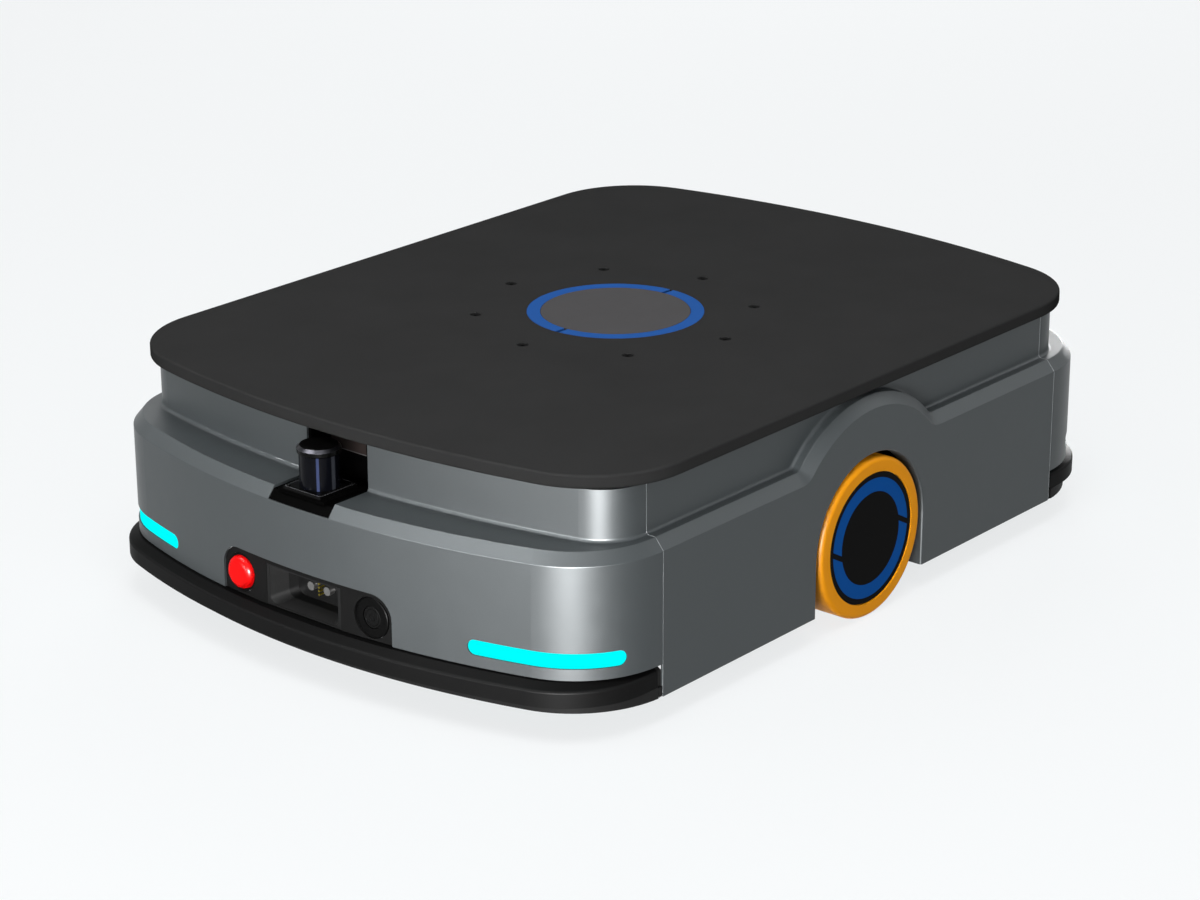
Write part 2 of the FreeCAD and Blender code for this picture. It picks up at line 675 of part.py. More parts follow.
def pad(body, sketch, length):
    """Extend a sketch along its normal."""
    feature = body.newObject("PartDesign::Pad", "pad")
    feature.Profile = sketch
    bind(feature, "Length", length)
    return feature


def loft(body, first, second):
    """A straight-sided solid between two sketches."""
    feature = body.newObject("PartDesign::AdditiveLoft", "loft")
    feature.Profile = first
    feature.Sections = [second]
    feature.Ruled = True
    return feature


def fillet_in(body, radius, chosen):
    """Round the chosen edges of a body."""
    doc.recompute()
    base = body.Tip
    names = [f"Edge{index}" for index, edge in enumerate(base.Shape.Edges, start=1) if chosen(edge)]
    feature = body.newObject("PartDesign::Fillet", "fillet")
    feature.Base = (base, names)
    bind(feature, "Radius", radius)
    return feature


def slab(outline, bottom, top):
    """A flat solid of one outline."""
    body = new_body("slab")
    pad(body, outline.draw(body, bottom), as_dim(top) - bottom)
    return body


def band(outline, outer_inset, inner_inset, bottom, top):
    """A closed band that follows an outline, between two insets from it."""
    outer = slab(outline.inset(outer_inset), bottom, top)
    inner = slab(outline.inset(inner_inset), as_dim(bottom) - OVERSHOOT, as_dim(top) + OVERSHOOT)
    return cut(outer, inner)


PLATFORM = Outline(platform_half_length, platform_half_width,
                   size.platform_bow, size.platform_corner)
SHELL = Outline(size.shell_half_length, size.shell_half_width, size.shell_bow, size.shell_corner)
WALL = Outline(platform_half_length - size.wall_inset, platform_half_width - size.wall_inset,
               size.platform_bow - size.wall_inset, size.wall_corner)
BUMPER = Outline(bumper_half_length, bumper_half_width, size.bumper_bow, size.bumper_corner)
LIP = Outline(size.shell_half_length, size.shell_half_width, size.shell_bow, size.lip_corner)
DECK = Outline(deck_half_length, deck_half_width, size.shell_bow, size.deck_corner)

ledge = size.shoulder_low + size.bevel_rise
platform_under = size.platform_top - size.platform_thick
deck_top = size.deck_under + size.deck_thick


# ---- covers ----

def end_form(depth, bottom, top):
    """The robot's closed outer form without the wheel bulges, moved inwards by a depth."""
    body = new_body("end_form")
    outer = SHELL.inset(depth)
    low = size.shoulder_low - depth / 2
    high = ledge - depth
    pad(body, outer.draw(body, bottom), low - bottom)
    loft(body, outer.draw(body, low), outer.inset(size.bevel_run).draw(body, high))
    pad(body, WALL.inset(depth).draw(body, high), as_dim(top) - high)
    return body


def arched_sketch(body, across, shelf, arch_radius, blend, bottom):
    """The side cover's outline, seen from the side: a shelf with a round bulge over the wheel."""
    reach = seam_at - size.seam_gap / 2
    length = reach.number
    low = as_dim(bottom).number
    top = shelf.number
    radius = arch_radius.number
    bend = blend.number
    axle = size.wheel_radius.number
    lift = top + bend - axle
    blend_x = math.sqrt((radius + bend) ** 2 - lift ** 2)
    lean = math.atan2(lift, blend_x)
    sketch = sketch_on(body, "XZ_Plane", -across)
    sketch.addGeometry([
        line(-length, low, length, low),
        line(length, low, length, top),
        line(length, top, blend_x, top),
        arc(blend_x, top + bend, bend, math.pi + lean, 1.5 * math.pi),
        arc(0, axle, radius, lean, math.pi - lean),
        arc(-blend_x, top + bend, bend, 1.5 * math.pi, 2 * math.pi - lean),
        line(-blend_x, top, -length, top),
        line(-length, top, -length, low),
    ], False)
    make = Sketcher.Constraint
    for first, first_end, second, second_end in ((0, 2, 1, 1), (1, 2, 2, 1), (6, 2, 7, 1), (7, 2, 0, 1)):
        sketch.addConstraint(make("Coincident", first, first_end, second, second_end))
    for first, first_end, second, second_end in ((2, 2, 3, 2), (3, 1, 4, 1), (4, 2, 5, 2), (5, 1, 6, 1)):
        sketch.addConstraint(make("Tangent", first, first_end, second, second_end))
    for level in (0, 2, 6):
        sketch.addConstraint(make("Horizontal", level))
    for upright in (1, 7):
        sketch.addConstraint(make("Vertical", upright))
    sketch.addConstraint(make("PointOnObject", 4, 3, -2))
    name_constraint(sketch, make("DistanceY", -1, 1, 4, 3, axle), "axle_height", size.wheel_radius)
    name_constraint(sketch, make("Radius", 4, radius), "bulge", arch_radius)
    name_constraint(sketch, make("Radius", 3, bend), "front_blend", blend)
    name_constraint(sketch, make("Radius", 5, bend), "rear_blend", blend)
    name_constraint(sketch, make("DistanceY", -1, 1, 0, 1, low), "low_edge", bottom)
    name_constraint(sketch, make("DistanceY", -1, 1, 2, 1, top), "front_shelf", shelf)
    name_constraint(sketch, make("DistanceY", -1, 1, 6, 1, top), "rear_shelf", shelf)
    name_constraint(sketch, make("DistanceX", -1, 1, 1, 1, length), "front_reach", reach)
    name_constraint(sketch, make("DistanceX", 7, 1, -1, 1, length), "rear_reach", reach)
    return sketch


def side_form(depth, bottom, inner_y):
    """The left side's closed form with its wheel bulge, moved inwards by a depth."""
    body = new_body("side_form")
    face = size.shell_half_width - depth
    bevel = face - size.bevel_run
    low_shelf = size.shoulder_low - depth / 2
    low_arch = size.bulge_radius - depth / 2
    high_shelf = ledge - depth
    high_arch = size.bulge_radius + size.bevel_rise - depth
    rise = high_shelf - low_shelf
    high_blend = size.bulge_blend - rise
    shelf_sketch = arched_sketch(body, bevel, high_shelf, high_arch, high_blend, bottom)
    pad(body, shelf_sketch, bevel - inner_y)
    first = arched_sketch(body, bevel, high_shelf, high_arch, high_blend, bottom)
    second = arched_sketch(body, face, low_shelf, low_arch, size.bulge_blend, bottom)
    loft(body, first, second)
    return body


def left_cover():
    """The left side cover: band, bevel and ledge with the wheel bulge, and the upper wall above."""
    wall = size.cover_wall
    inner_y = WALL.half_width - size.foot_depth
    left_half = span((-FAR, inner_y, -FAR), (FAR, FAR, FAR))
    upper = common(common(slab(WALL, size.shoulder_low, size.wall_top), left_half), between_seams())
    outer = fuse(side_form(Dim(0), size.side_bottom, inner_y), upper)
    face = size.shell_half_width
    creases = (crease_at(face), crease_at(face - size.bevel_run))
    outer = rounded(outer, (size.foot_fillet, is_foot), *[(size.crease_fillet, test) for test in creases])
    inner_upper = slab(WALL.inset(wall), size.shoulder_low - size.foot_depth, size.wall_top + OVERSHOOT)
    inner = fuse(side_form(wall, size.side_bottom - OVERSHOOT, inner_y - OVERSHOOT), inner_upper)
    lip = arch_form(size.arch_radius + size.arch_lip, size.arch_lip_depth, 0)
    opening = arch_form(size.arch_radius, size.arch_lip_depth + OVERSHOOT, OVERSHOOT)
    whole = cut(fuse(cut(outer, inner), lip), opening)
    return finish("left_cover", rounded(whole, (size.arch_edge, is_arch_edge)))


def between_seams():
    """The space between the two seams."""
    reach = seam_at - size.seam_gap / 2
    return span((-reach, -FAR, -FAR), (reach, FAR, FAR))


def is_foot(edge):
    """Whether an edge is where the upper wall meets the ledge or the wheel bulge."""
    low = ledge.number - CLOSE
    high = size.wall_top.number - CLOSE
    if edge.BoundBox.XLength < 1 or edge.BoundBox.ZMin < low or edge.BoundBox.ZMax > high:
        return False
    points = (middle(edge), edge.Vertexes[0].Point, edge.Vertexes[-1].Point)
    wire = WALL.wire(ledge)
    on_plan = [Part.Vertex(point.x, point.y, ledge.number) for point in points]
    return all(wire.distToShape(vertex)[0] < CLOSE for vertex in on_plan)


def crease_at(across):
    """A test for the shoulder's creases, which keep one distance from the robot's middle plane."""
    def chosen(edge):
        box = edge.BoundBox
        on_plane = abs(box.YMin - across.number) < CLOSE and abs(box.YMax - across.number) < CLOSE
        return on_plane and box.ZMin > size.shoulder_low.number - CLOSE and box.XLength > 1
    return chosen


def is_arch_edge(edge):
    """Whether an edge runs round the wheel arch in the side cover's face."""
    point = middle(edge)
    if abs(point.y - size.shell_half_width.number) > CLOSE or edge.BoundBox.ZLength < 1:
        return False
    above_axle = max(point.z - size.wheel_radius.number, 0)
    return math.hypot(point.x, above_axle) < size.arch_radius.number + CLOSE


def arch_form(radius, depth, beyond):
    """A round-topped block that fills the wheel arch, down to the side cover's lower edge."""
    start = size.shell_half_width - depth
    end = size.shell_half_width + beyond
    low = size.side_bottom - beyond
    top = cylinder(radius, end - start, (0, start, size.wheel_radius), "y")
    legs = span((-radius, start, low), (radius, end, size.wheel_radius))
    return common(fuse(top, legs), span((-FAR, start, low), (FAR, end, FAR)))


def panel_prism(gap, back, front, bottom):
    """The front panel's outline as a solid that runs lengthwise."""
    half = size.panel_half_width - gap
    top = size.panel_top - gap
    corner = size.panel_corner - gap
    lower = span((back, -half, bottom), (front, half, top - corner))
    upper = span((back, corner - half, bottom), (front, half - corner, top))
    rounds = [cylinder(corner, as_dim(front) - back, (back, side * (half - corner), top - corner), "x")
              for side in (-1, 1)]
    return fuse(lower, upper, *rounds)


def light_window(gap, side, front):
    """The stadium-shaped space of one light strip, as it wraps round a corner."""
    bow_x, corner_x, corner_y, _ = SHELL.numbers()
    reach = SLOT_REACH
    radius = size.light_height / 2 + gap
    inner_turn = math.asin(light_inner_end.number / SHELL.bow.number)
    outer_turn = math.radians(size.light_outer_turn.number)
    inner_end = FreeCAD.Vector(bow_x + SHELL.bow.number * math.cos(inner_turn),
                               light_inner_end.number, 0)
    outer_end = FreeCAD.Vector(corner_x + SHELL.corner.number * math.cos(outer_turn),
                               corner_y + SHELL.corner.number * math.sin(outer_turn), 0)
    inner_way = FreeCAD.Vector(math.cos(inner_turn), math.sin(inner_turn), 0)
    outer_way = FreeCAD.Vector(math.cos(outer_turn), math.sin(outer_turn), 0)
    past_corner = FreeCAD.Vector(SHELL.half_length.number + reach, SHELL.half_width.number + reach, 0)
    corners = [inner_end - inner_way * reach, inner_end + inner_way * reach, past_corner,
               outer_end + outer_way * reach, outer_end - outer_way * reach]
    face = Part.Face(Part.makePolygon(corners + corners[:1]))
    middle_part = face.extrude(FreeCAD.Vector(0, 0, 2 * radius.number))
    middle_part.translate(FreeCAD.Vector(0, 0, (size.light_middle - radius).number))
    solid = middle_part
    for end, way in ((inner_end, inner_way), (outer_end, outer_way)):
        start = end - way * reach + FreeCAD.Vector(0, 0, size.light_middle.number)
        solid = solid.fuse(Part.makeCylinder(radius.number, 2 * reach, start, way))
    if side < 0:
        solid = solid.mirror(FreeCAD.Vector(), FreeCAD.Vector(0, 1, 0))
    if front < 0:
        solid = solid.mirror(FreeCAD.Vector(), FreeCAD.Vector(1, 0, 0))
    item = doc.addObject("Part::Feature", "light_window")
    item.Shape = solid
    return item


def end_shell():
    """The hollow form that the front and rear covers are cut from, with its creases rounded."""
    outer = end_form(Dim(0), size.end_bottom, size.wall_top)
    fillet_in(outer, size.foot_fillet, lies_on(WALL.wire(ledge)))
    creases = Part.Compound([SHELL.wire(size.shoulder_low), SHELL.inset(size.bevel_run).wire(ledge)])
    fillet_in(outer, size.crease_fillet, lies_on(creases))
    inner = end_form(size.cover_wall, size.end_bottom - OVERSHOOT, size.wall_top + OVERSHOOT)
    return cut(outer, inner)


def end_covers():
    """The front cover with its notch, panel opening and light slots, and the plain rear cover."""
    shell = end_shell()
    reach = seam_at + size.seam_gap / 2
    front = common(shell, span((reach, -FAR, -FAR), (FAR, FAR, FAR)))
    notch = span((notch_back, -size.notch_half_width, size.shoulder_low),
                 (FAR, size.notch_half_width, FAR))
    opening = panel_prism(Dim(0), notch_back, as_dim(FAR), size.end_bottom - OVERSHOOT)
    slots = [light_window(size.light_gap, side, 1) for side in (-1, 1)]
    finish("front_cover", cut(front, notch, opening, *slots))
    rear = common(shell, span((-FAR, -FAR, -FAR), (-reach, FAR, FAR)))
    rear_slots = [light_window(size.light_gap, side, -1) for side in (-1, 1)]
    finish("rear_cover", cut(rear, *rear_slots))


def light_strips():
    """Four light strips, each wrapped round a corner of the robot."""
    half = size.light_height / 2 + OVERSHOOT
    ring = band(SHELL, size.light_recess, size.light_recess + size.light_thick,
                size.light_middle - half, size.light_middle + half)
    strips = [common(ring, light_window(Dim(0), side, front)) for side in (-1, 1) for front in (-1, 1)]
    finish("light_strips", group(*strips))


def top_cover():
    """The inner top cover under the platform, open in the middle for the lift."""
    plate = slab(WALL.inset(size.cover_wall + size.top_cover_gap), size.top_cover_under,
                 size.top_cover_under + size.top_cover_thick)
    low = size.top_cover_under - OVERSHOOT
    high = size.top_cover_under + size.top_cover_thick + OVERSHOOT
    hole = cylinder(size.top_cover_hole, high - low, (0, 0, low))
    slot_half = size.slew_motor_radius + size.slew_slot_gap
    slot = span((0, -slot_half, low), (slew_x + slot_half, slot_half, high))
    notch_side = size.notch_half_width + 2 * size.tray_gap
    notch = span((notch_back - 2 * size.tray_gap, -notch_side, low), (FAR, notch_side, high))
    screw_holes = [cylinder(size.screw_radius + size.screw_clearance, high - low,
                            (sx * post_x, sy * post_y, low))
                   for sx in (-1, 1) for sy in (-1, 1)]
    finish("top_cover", cut(plate, hole, slot, notch, *screw_holes))
    screws = []
    for sx in (-1, 1):
        for sy in (-1, 1):
            spot_x = sx * post_x
            spot_y = sy * post_y
            top = size.top_cover_under + size.top_cover_thick
            shank_length = size.top_cover_thick + size.screw_bite
            shank = cylinder(size.screw_radius, shank_length, (spot_x, spot_y, top - shank_length))
            head = cylinder(size.screw_head, size.screw_cap, (spot_x, spot_y, top))
            screws.append(fuse(shank, head))
    finish("top_cover_screws", group(*screws))


def front_panel():
    """The dark panel in the front cover, with the charging socket and the two controls."""
    panel_back = size.panel_recess + size.panel_thick
    ring = band(SHELL, size.panel_recess, panel_back, size.end_bottom, size.panel_top)
    plate = common(ring, panel_prism(size.panel_gap, notch_back, as_dim(FAR), size.end_bottom))
    socket_half = size.socket_half_width + size.panel_gap
    socket_hole = span((notch_back, -socket_half, size.end_bottom - OVERSHOOT),
                       (FAR, socket_half, size.socket_top + size.panel_gap))
    stop_at = (0, -size.control_y, size.control_height)
    power_at = (0, size.control_y, size.control_height)
    stop_hole = cylinder(size.stop_body + size.panel_gap, FAR, stop_at, "x")
    power_hole = cylinder(size.power_body + size.panel_gap, FAR, power_at, "x")
    finish("front_panel", cut(plate, socket_hole, stop_hole, power_hole))


def charge_socket():
    """A funnel that guides the charging plug, with two studs and four signal contacts at its back."""
    low = size.end_bottom + size.panel_gap
    shell = span((socket_back, -size.socket_half_width, low),
                 (socket_front, size.socket_half_width, size.socket_top))
    throat = socket_back + size.socket_back_wall
    mouth_half = size.socket_half_width - size.socket_wall
    mouth = socket_section(socket_front + OVERSHOOT, mouth_half,
                           low + size.socket_wall / 2, size.socket_top - size.socket_wall / 2)
    back = socket_section(throat, size.socket_throat_half, size.socket_throat_low, size.socket_throat_high)
    funnel = doc.addObject("Part::Loft", "funnel")
    funnel.Sections = [back, mouth]
    funnel.Solid = True
    funnel.Ruled = True
    eased = rounded(funnel, (size.socket_corner, runs_low_in_funnel))
    finish("charge_socket", cut(shell, eased))
    studs = [cylinder(size.stud_radius, size.stud_length,
                      (throat, side * size.stud_spread, size.stud_height), "x") for side in (-1, 1)]
    rows = range(int(round(size.contact_count.number)))
    pins = [cylinder(size.contact_radius, size.stud_length,
                     (throat, 0, size.contact_top - row * size.contact_pitch), "x") for row in rows]
    finish("charge_contacts", group(*studs, *pins))


def runs_low_in_funnel(edge):
    """Whether an edge runs along the funnel below its studs."""
    first, last = (corner.Point for corner in edge.Vertexes)
    along = abs(first.x - last.x) > CLOSE
    return along and max(first.z, last.z) < size.stud_height.number


def socket_section(x, half_width, low, high):
    """An upright rectangle across the robot."""
    plane = doc.addObject("Part::Plane", "section")
    bind(plane, "Length", as_dim(high) - low)
    bind(plane, "Width", 2 * half_width)
    turn = FreeCAD.Rotation(FreeCAD.Vector(0, 1, 0), -90)
    plane.Placement = FreeCAD.Placement(FreeCAD.Vector(), turn)
    for letter, value in zip("xyz", (x, -half_width, low)):
        bind(plane, f"Placement.Base.{letter}", value)
    return plane


def controls():
    """The emergency stop and the power switch, each a body with a sprung button in it."""
    back = control_back
    length = control_front - back
    stop_at = (back, -size.control_y, size.control_height)
    well = size.stop_travel + size.stop_skirt + size.press_gap
    stem_bore = cylinder(size.stop_stem + size.running_fit, FAR, stop_at, "x")
    well_at = (control_front - well, -size.control_y, size.control_height)
    skirt_well = cylinder(size.stop_button + size.panel_gap, FAR, well_at, "x")
    finish("estop_body", cut(cylinder(size.stop_body, length, stop_at, "x"), stem_bore, skirt_well))
    head_back = control_front - size.stop_skirt
    head_length = size.stop_proud + size.stop_skirt
    head = cylinder(size.stop_button, head_length, (head_back, -size.control_y, size.control_height), "x")
    head = rounded(head, (size.stop_dome, circle_at("x", head_back + head_length, size.stop_button)))
    stem_back = back + size.stop_travel + size.press_gap
    stem_length = head_back + OVERSHOOT - stem_back
    stem = cylinder(size.stop_stem, stem_length, (stem_back, -size.control_y, size.control_height), "x")
    finish("estop_button", fuse(head, stem))
    power_at = (back, size.control_y, size.control_height)
    bore = cylinder(size.power_button + size.panel_gap, FAR,
                    (back + size.power_floor, size.control_y, size.control_height), "x")
    rim = rounded(cylinder(size.power_body, length, power_at, "x"),
                  (size.power_rim, circle_at("x", control_front, size.power_body)))
    finish("power_switch_body", cut(rim, bore))
    button_back = back + size.power_floor + size.power_travel + size.press_gap
    button_front = control_front - size.power_sink
    button = cylinder(size.power_button, button_front - button_back,
                      (button_back, size.control_y, size.control_height), "x")
    button_edge = circle_at("x", button_front, size.power_button)
    finish("power_button", rounded(button, (size.power_edge, button_edge)))


def scanner():
    """The laser scanner in the front notch: bracket, housing, window and spinning head."""
    half = size.notch_half_width - size.tray_gap
    back = notch_back + size.tray_gap
    filled = common(end_form(size.tray_gap, size.end_bottom, size.wall_top),
                    span((back, -half, size.shoulder_low + size.tray_gap), (FAR, half, size.tray_top)))
    seat = block((size.seat_length, 2 * size.seat_half_width, size.seat_top - size.tray_top),
                 (scanner_x - size.seat_back, 0, size.tray_top))
    wall_top = size.wall_top - size.bracket_drop
    back_wall = span((back, -half, size.tray_top), (back + size.cover_wall, half, wall_top))
    sides = [block((size.bracket_side, size.cover_wall, wall_top - size.tray_top),
                   (back + size.bracket_side / 2, side * (half - size.cover_wall / 2), size.tray_top))
             for side in (-1, 1)]
    finish("lidar_bracket", fuse(filled, seat, back_wall, *sides))
    axis = (scanner_x, 0)
    base = block((size.scanner_base, size.scanner_base, size.scanner_base_thick), (*axis, size.seat_top))
    base_top = size.seat_top + size.scanner_base_thick
    hub = cylinder(size.rotor_boss, size.rotor_boss_height, (*axis, base_top))
    flare = cone(size.scanner_radius, size.scanner_cap, size.cap_flare_top - size.window_top,
                 (*axis, size.window_top))
    side = cylinder(size.scanner_cap, size.cap_side_top - size.cap_flare_top, (*axis, size.cap_flare_top))
    crown = cone(size.scanner_cap, size.scanner_cap - size.cap_bevel, size.cap_top - size.cap_side_top,
                 (*axis, size.cap_side_top))
    screws = [cylinder(size.base_screw, size.base_screw_height,
                       (scanner_x + sx * size.base_screw_at, sy * size.base_screw_at, base_top))
              for sx in (-1, 1) for sy in (-1, 1)]
    finish("lidar_housing", group(fuse(base, hub, *screws), fuse(flare, side, crown)))
    height = size.window_top - base_top
    finish("lidar_window", tube(size.scanner_radius, size.scanner_radius - size.scanner_wall, height,
                                (*axis, base_top)))
    rotor_low = base_top + size.rotor_boss_height + size.rotor_gap
    rotor_length = size.window_top - size.rotor_headroom - rotor_low
    spinning = cylinder(size.rotor_radius, rotor_length, (*axis, rotor_low))
    flat = block((size.rotor_radius, 2 * size.rotor_radius, size.mirror_height),
                 (scanner_x + size.rotor_radius, 0, base_top + size.mirror_low))
    finish("lidar_rotor", cut(spinning, flat))


# ---- chassis ----

slew_x = (size.slew_module * (size.slew_teeth + size.slew_pinion_teeth)) / 2 + size.gear_backlash
lift_motor_x = -((size.nut_module * (size.nut_teeth + size.lift_pinion_teeth)) / 2 + size.gear_backlash)
arm_outer = wheel_face - size.wheel_width - size.arm_gap
arm_inner = arm_outer - size.arm_thick
lug_middles = (arm_inner - size.arm_gap - size.lug_thick / 2, arm_outer + size.arm_gap + size.lug_thick / 2)
guide_sag = size.guide_y * size.guide_y / (2 * size.bumper_bow)
boss_front = bumper_half_length - size.bumper_thick - guide_sag + size.boss_bite
boss_back = boss_front - size.guide_boss_length
guide_bore = size.guide_boss_length - size.boss_end_wall
guide_tip = boss_back + guide_bore - size.bumper_travel - size.guide_end_gap


def chassis_frame():
    """The steel frame: deck, end beams, pivot lugs, spring towers and cover posts, and the tub under it."""
    deck = slab(DECK, size.deck_under, deck_top)
    wells = []
    for side in (-1, 1):
        low = well_inner if side > 0 else as_dim(-FAR)
        high = as_dim(FAR) if side > 0 else -well_inner
        wells.append(span((-size.well_back, low, size.deck_under - OVERSHOOT),
                          (size.well_front, high, deck_top + OVERSHOOT)))
    below_deck = size.deck_under - OVERSHOOT
    column_hole = cylinder(size.column_radius + size.column_clearance, FAR, (0, 0, below_deck))
    shaft_hole = cylinder(size.lift_shaft + size.shaft_clearance, FAR, (lift_motor_x, 0, below_deck))
    parts = [cut(deck, column_hole, shaft_hole, *wells)]
    for end in (-1, 1):
        parts.append(block((size.beam_thick, 2 * size.beam_half_width, size.deck_under - size.beam_bottom),
                           (end * beam_at, 0, size.beam_bottom)))
    for sx in (-1, 1):
        for sy in (-1, 1):
            post = block((size.post_width, size.post_width, size.top_cover_under - deck_top),
                         (sx * post_x, sy * post_y, deck_top))
            tapped_low = size.top_cover_under - size.screw_bite - OVERSHOOT
            tapped = cylinder(size.screw_radius, size.screw_bite + 2 * OVERSHOOT,
                              (sx * post_x, sy * post_y, tapped_low))
            parts.append(cut(post, tapped))
    for side in (-1, 1):
        for across in lug_middles:
            lug = block((size.lug_width, size.lug_thick, size.deck_under - size.lug_bottom),
                        (-size.pivot_back, side * across, size.lug_bottom))
            bore = cylinder(size.pivot_pin, 2 * as_dim(FAR), (-size.pivot_back, -FAR, size.pivot_height), "y")
            parts.append(cut(lug, bore))
        parts.append(spring_tower(side))
    finish("chassis_frame", group(*parts))
    tub_outer = block((2 * size.tub_half_length, 2 * tub_half_width, size.deck_under - size.tub_floor),
                      (0, 0, size.tub_floor))
    tub_inner = block((2 * (size.tub_half_length - size.tub_wall), 2 * (tub_half_width - size.tub_wall),
                       size.deck_under - size.tub_floor), (0, 0, size.tub_floor + size.tub_wall))
    finish("battery_tub", cut(tub_outer, tub_inner))


def spring_tower(side):
    """The bracket on the deck that the top of one suspension spring presses against."""
    across = side * (arm_inner + arm_outer) / 2
    leg_end = size.well_front + size.tower_leg
    plate_start = size.spring_at - size.spring_radius - size.tower_margin
    leg = block((size.tower_leg, size.tower_width, size.spring_top + size.tower_plate - deck_top),
                (leg_end - size.tower_leg / 2, across, deck_top))
    plate = block((leg_end - plate_start, size.tower_width, size.tower_plate),
                  ((leg_end + plate_start) / 2, across, size.spring_top))
    return fuse(leg, plate)


def frame_pins():
    """The swing arms' pivot pins and the bumpers' guide pins, all pressed into the frame."""
    pin_start = lug_middles[0] - size.lug_thick / 2 - size.pin_overhang
    pin_end = lug_middles[1] + size.lug_thick / 2 + size.pin_overhang
    pivot_at = (-size.pivot_back, pin_start, size.pivot_height)
    pivot = cylinder(size.pivot_pin, pin_end - pin_start, pivot_at, "y")
    pins = [pivot, mirrored(pivot, (0, 1, 0))]
    start = beam_at + size.beam_thick / 2
    for at_x in (start, -guide_tip):
        for side in (-1, 1):
            pins.append(cylinder(size.guide_radius, guide_tip - start,
                                 (at_x, side * size.guide_y, size.guide_height), "x"))
    finish("frame_pins", group(*pins))


def bumpers():
    """Front and rear bumpers: a hollow band with a sloped brow and a lower lip, on two guide pins."""
    body = new_body("bumper_form")
    brow = BUMPER.inset(size.bumper_slope)
    pad(body, BUMPER.draw(body, size.bumper_lip), size.bumper_brow - size.bumper_lip)
    loft(body, BUMPER.draw(body, size.bumper_brow), brow.draw(body, size.bumper_top))
    fillet_in(body, size.bumper_edge, lies_on(BUMPER.wire(size.bumper_brow)))
    lip = slab(LIP, size.bumper_bottom, size.bumper_lip)
    inner = slab(BUMPER.inset(size.bumper_thick), size.bumper_bottom - OVERSHOOT, size.bumper_top + OVERSHOOT)
    ring = cut(fuse(body, lip), inner)
    reach = seam_at + size.bumper_gap
    half = common(ring, span((reach, -FAR, -FAR), (FAR, FAR, FAR)))
    bosses = []
    bores = []
    for side in (-1, 1):
        bosses.append(cylinder(size.guide_boss, size.guide_boss_length,
                               (boss_back, side * size.guide_y, size.guide_height), "x"))
        bores.append(cylinder(size.guide_radius + size.running_fit, guide_bore + OVERSHOOT,
                              (boss_back - OVERSHOOT, side * size.guide_y, size.guide_height), "x"))
    front = finish("front_bumper", cut(fuse(half, *bosses), *bores))
    finish("rear_bumper", mirrored(front, (1, 0, 0)))


# ---- drive units ----

def drive_unit():
    """The left drive unit: swing arm, motor, spring, hub, tyre and hub cap."""
    axle_z = size.wheel_radius
    bar_middle = axle_z - size.arm_drop
    bar = span((-size.pivot_back - size.arm_nose, arm_inner, bar_middle - size.arm_height / 2),
               (size.arm_tail, arm_outer, bar_middle + size.arm_height / 2))
    round_hub = cylinder(size.arm_hub, size.arm_thick, (0, arm_inner, axle_z), "y")
    pivot = cylinder(size.pivot_pin + size.running_fit, FAR, (-size.pivot_back, 0, size.pivot_height), "y")
    axle_hole = cylinder(size.axle_radius, FAR, (0, 0, axle_z), "y")
    arm = cut(fuse(bar, round_hub), pivot, axle_hole)
    hub_start = wheel_face - size.wheel_width + size.hub_inset
    body = cylinder(size.motor_radius, size.motor_length, (0, arm_inner - size.motor_length, axle_z), "y")
    web_end = hub_start + size.hub_web
    axle = cylinder(size.axle_radius, web_end - arm_inner, (0, arm_inner, axle_z), "y")
    motor = fuse(body, axle)
    cap_start = wheel_face - size.cap_inset - size.cap_thick
    rim = tube(size.hub_radius, size.hub_radius - size.hub_rim, cap_start - hub_start,
               (0, hub_start, axle_z), "y")
    web = cylinder(size.hub_radius - size.hub_rim / 2, size.hub_web, (0, hub_start, axle_z), "y")
    boss = cylinder(size.hub_boss, size.hub_web + size.hub_boss_height, (0, hub_start, axle_z), "y")
    bore = cylinder(size.axle_radius + size.running_fit, size.hub_web + size.axle_end_gap + OVERSHOOT,
                    (0, hub_start - OVERSHOOT, axle_z), "y")
    hub = cut(fuse(rim, web, boss), bore)
    tyre_start = wheel_face - size.wheel_width
    tyre = tube(size.wheel_radius, size.hub_radius, size.wheel_width, (0, tyre_start, axle_z), "y")
    tyre = rounded(tyre, (size.tyre_shoulder, circle_at("y", wheel_face, size.wheel_radius)),
                   (size.tyre_shoulder / 2, circle_at("y", tyre_start, size.wheel_radius)))
    disc = cylinder(size.cap_radius, size.cap_thick, (0, cap_start, axle_z), "y")
    disc = rounded(disc, (size.cap_edge, circle_at("y", cap_start + size.cap_thick, size.cap_radius)))
    spigot_outer = size.hub_radius - size.hub_rim - size.spigot_gap
    spigot = tube(spigot_outer, spigot_outer - size.spigot_wall, size.spigot_length + OVERSHOOT,
                  (0, cap_start - size.spigot_length, axle_z), "y")
    cap = fuse(disc, spigot)
    for node, item in (("drive_arm", arm), ("drive_motor", motor), ("wheel_hub", hub),
                       ("tyre", tyre), ("hub_cap", cap), ("spring", coil_spring())):
        finish(f"left_{node}", item)
        finish(f"right_{node}", mirrored(item, (0, 1, 0)))


def coil_spring():
    """The suspension spring, standing on the end of the swing arm."""
    seat = (size.wheel_radius - size.arm_drop + size.arm_height / 2).number
    wire = size.spring_wire.number
    coil = size.spring_radius.number
    height = size.spring_top.number - seat - 2 * wire
    path = Part.makeHelix(height / size.spring_turns.number, height, coil)
    ring = Part.Circle(FreeCAD.Vector(coil, 0, 0), FreeCAD.Vector(0, 1, 0), wire)
    section = Part.Wire([ring.toShape()])
    spring = doc.addObject("Part::Feature", "spring")
    spring.Shape = Part.Wire(path).makePipeShell([section], True, True)
    across = (arm_inner + arm_outer) / 2
    return place(spring, (size.spring_at, across, as_dim(seat + wire)))


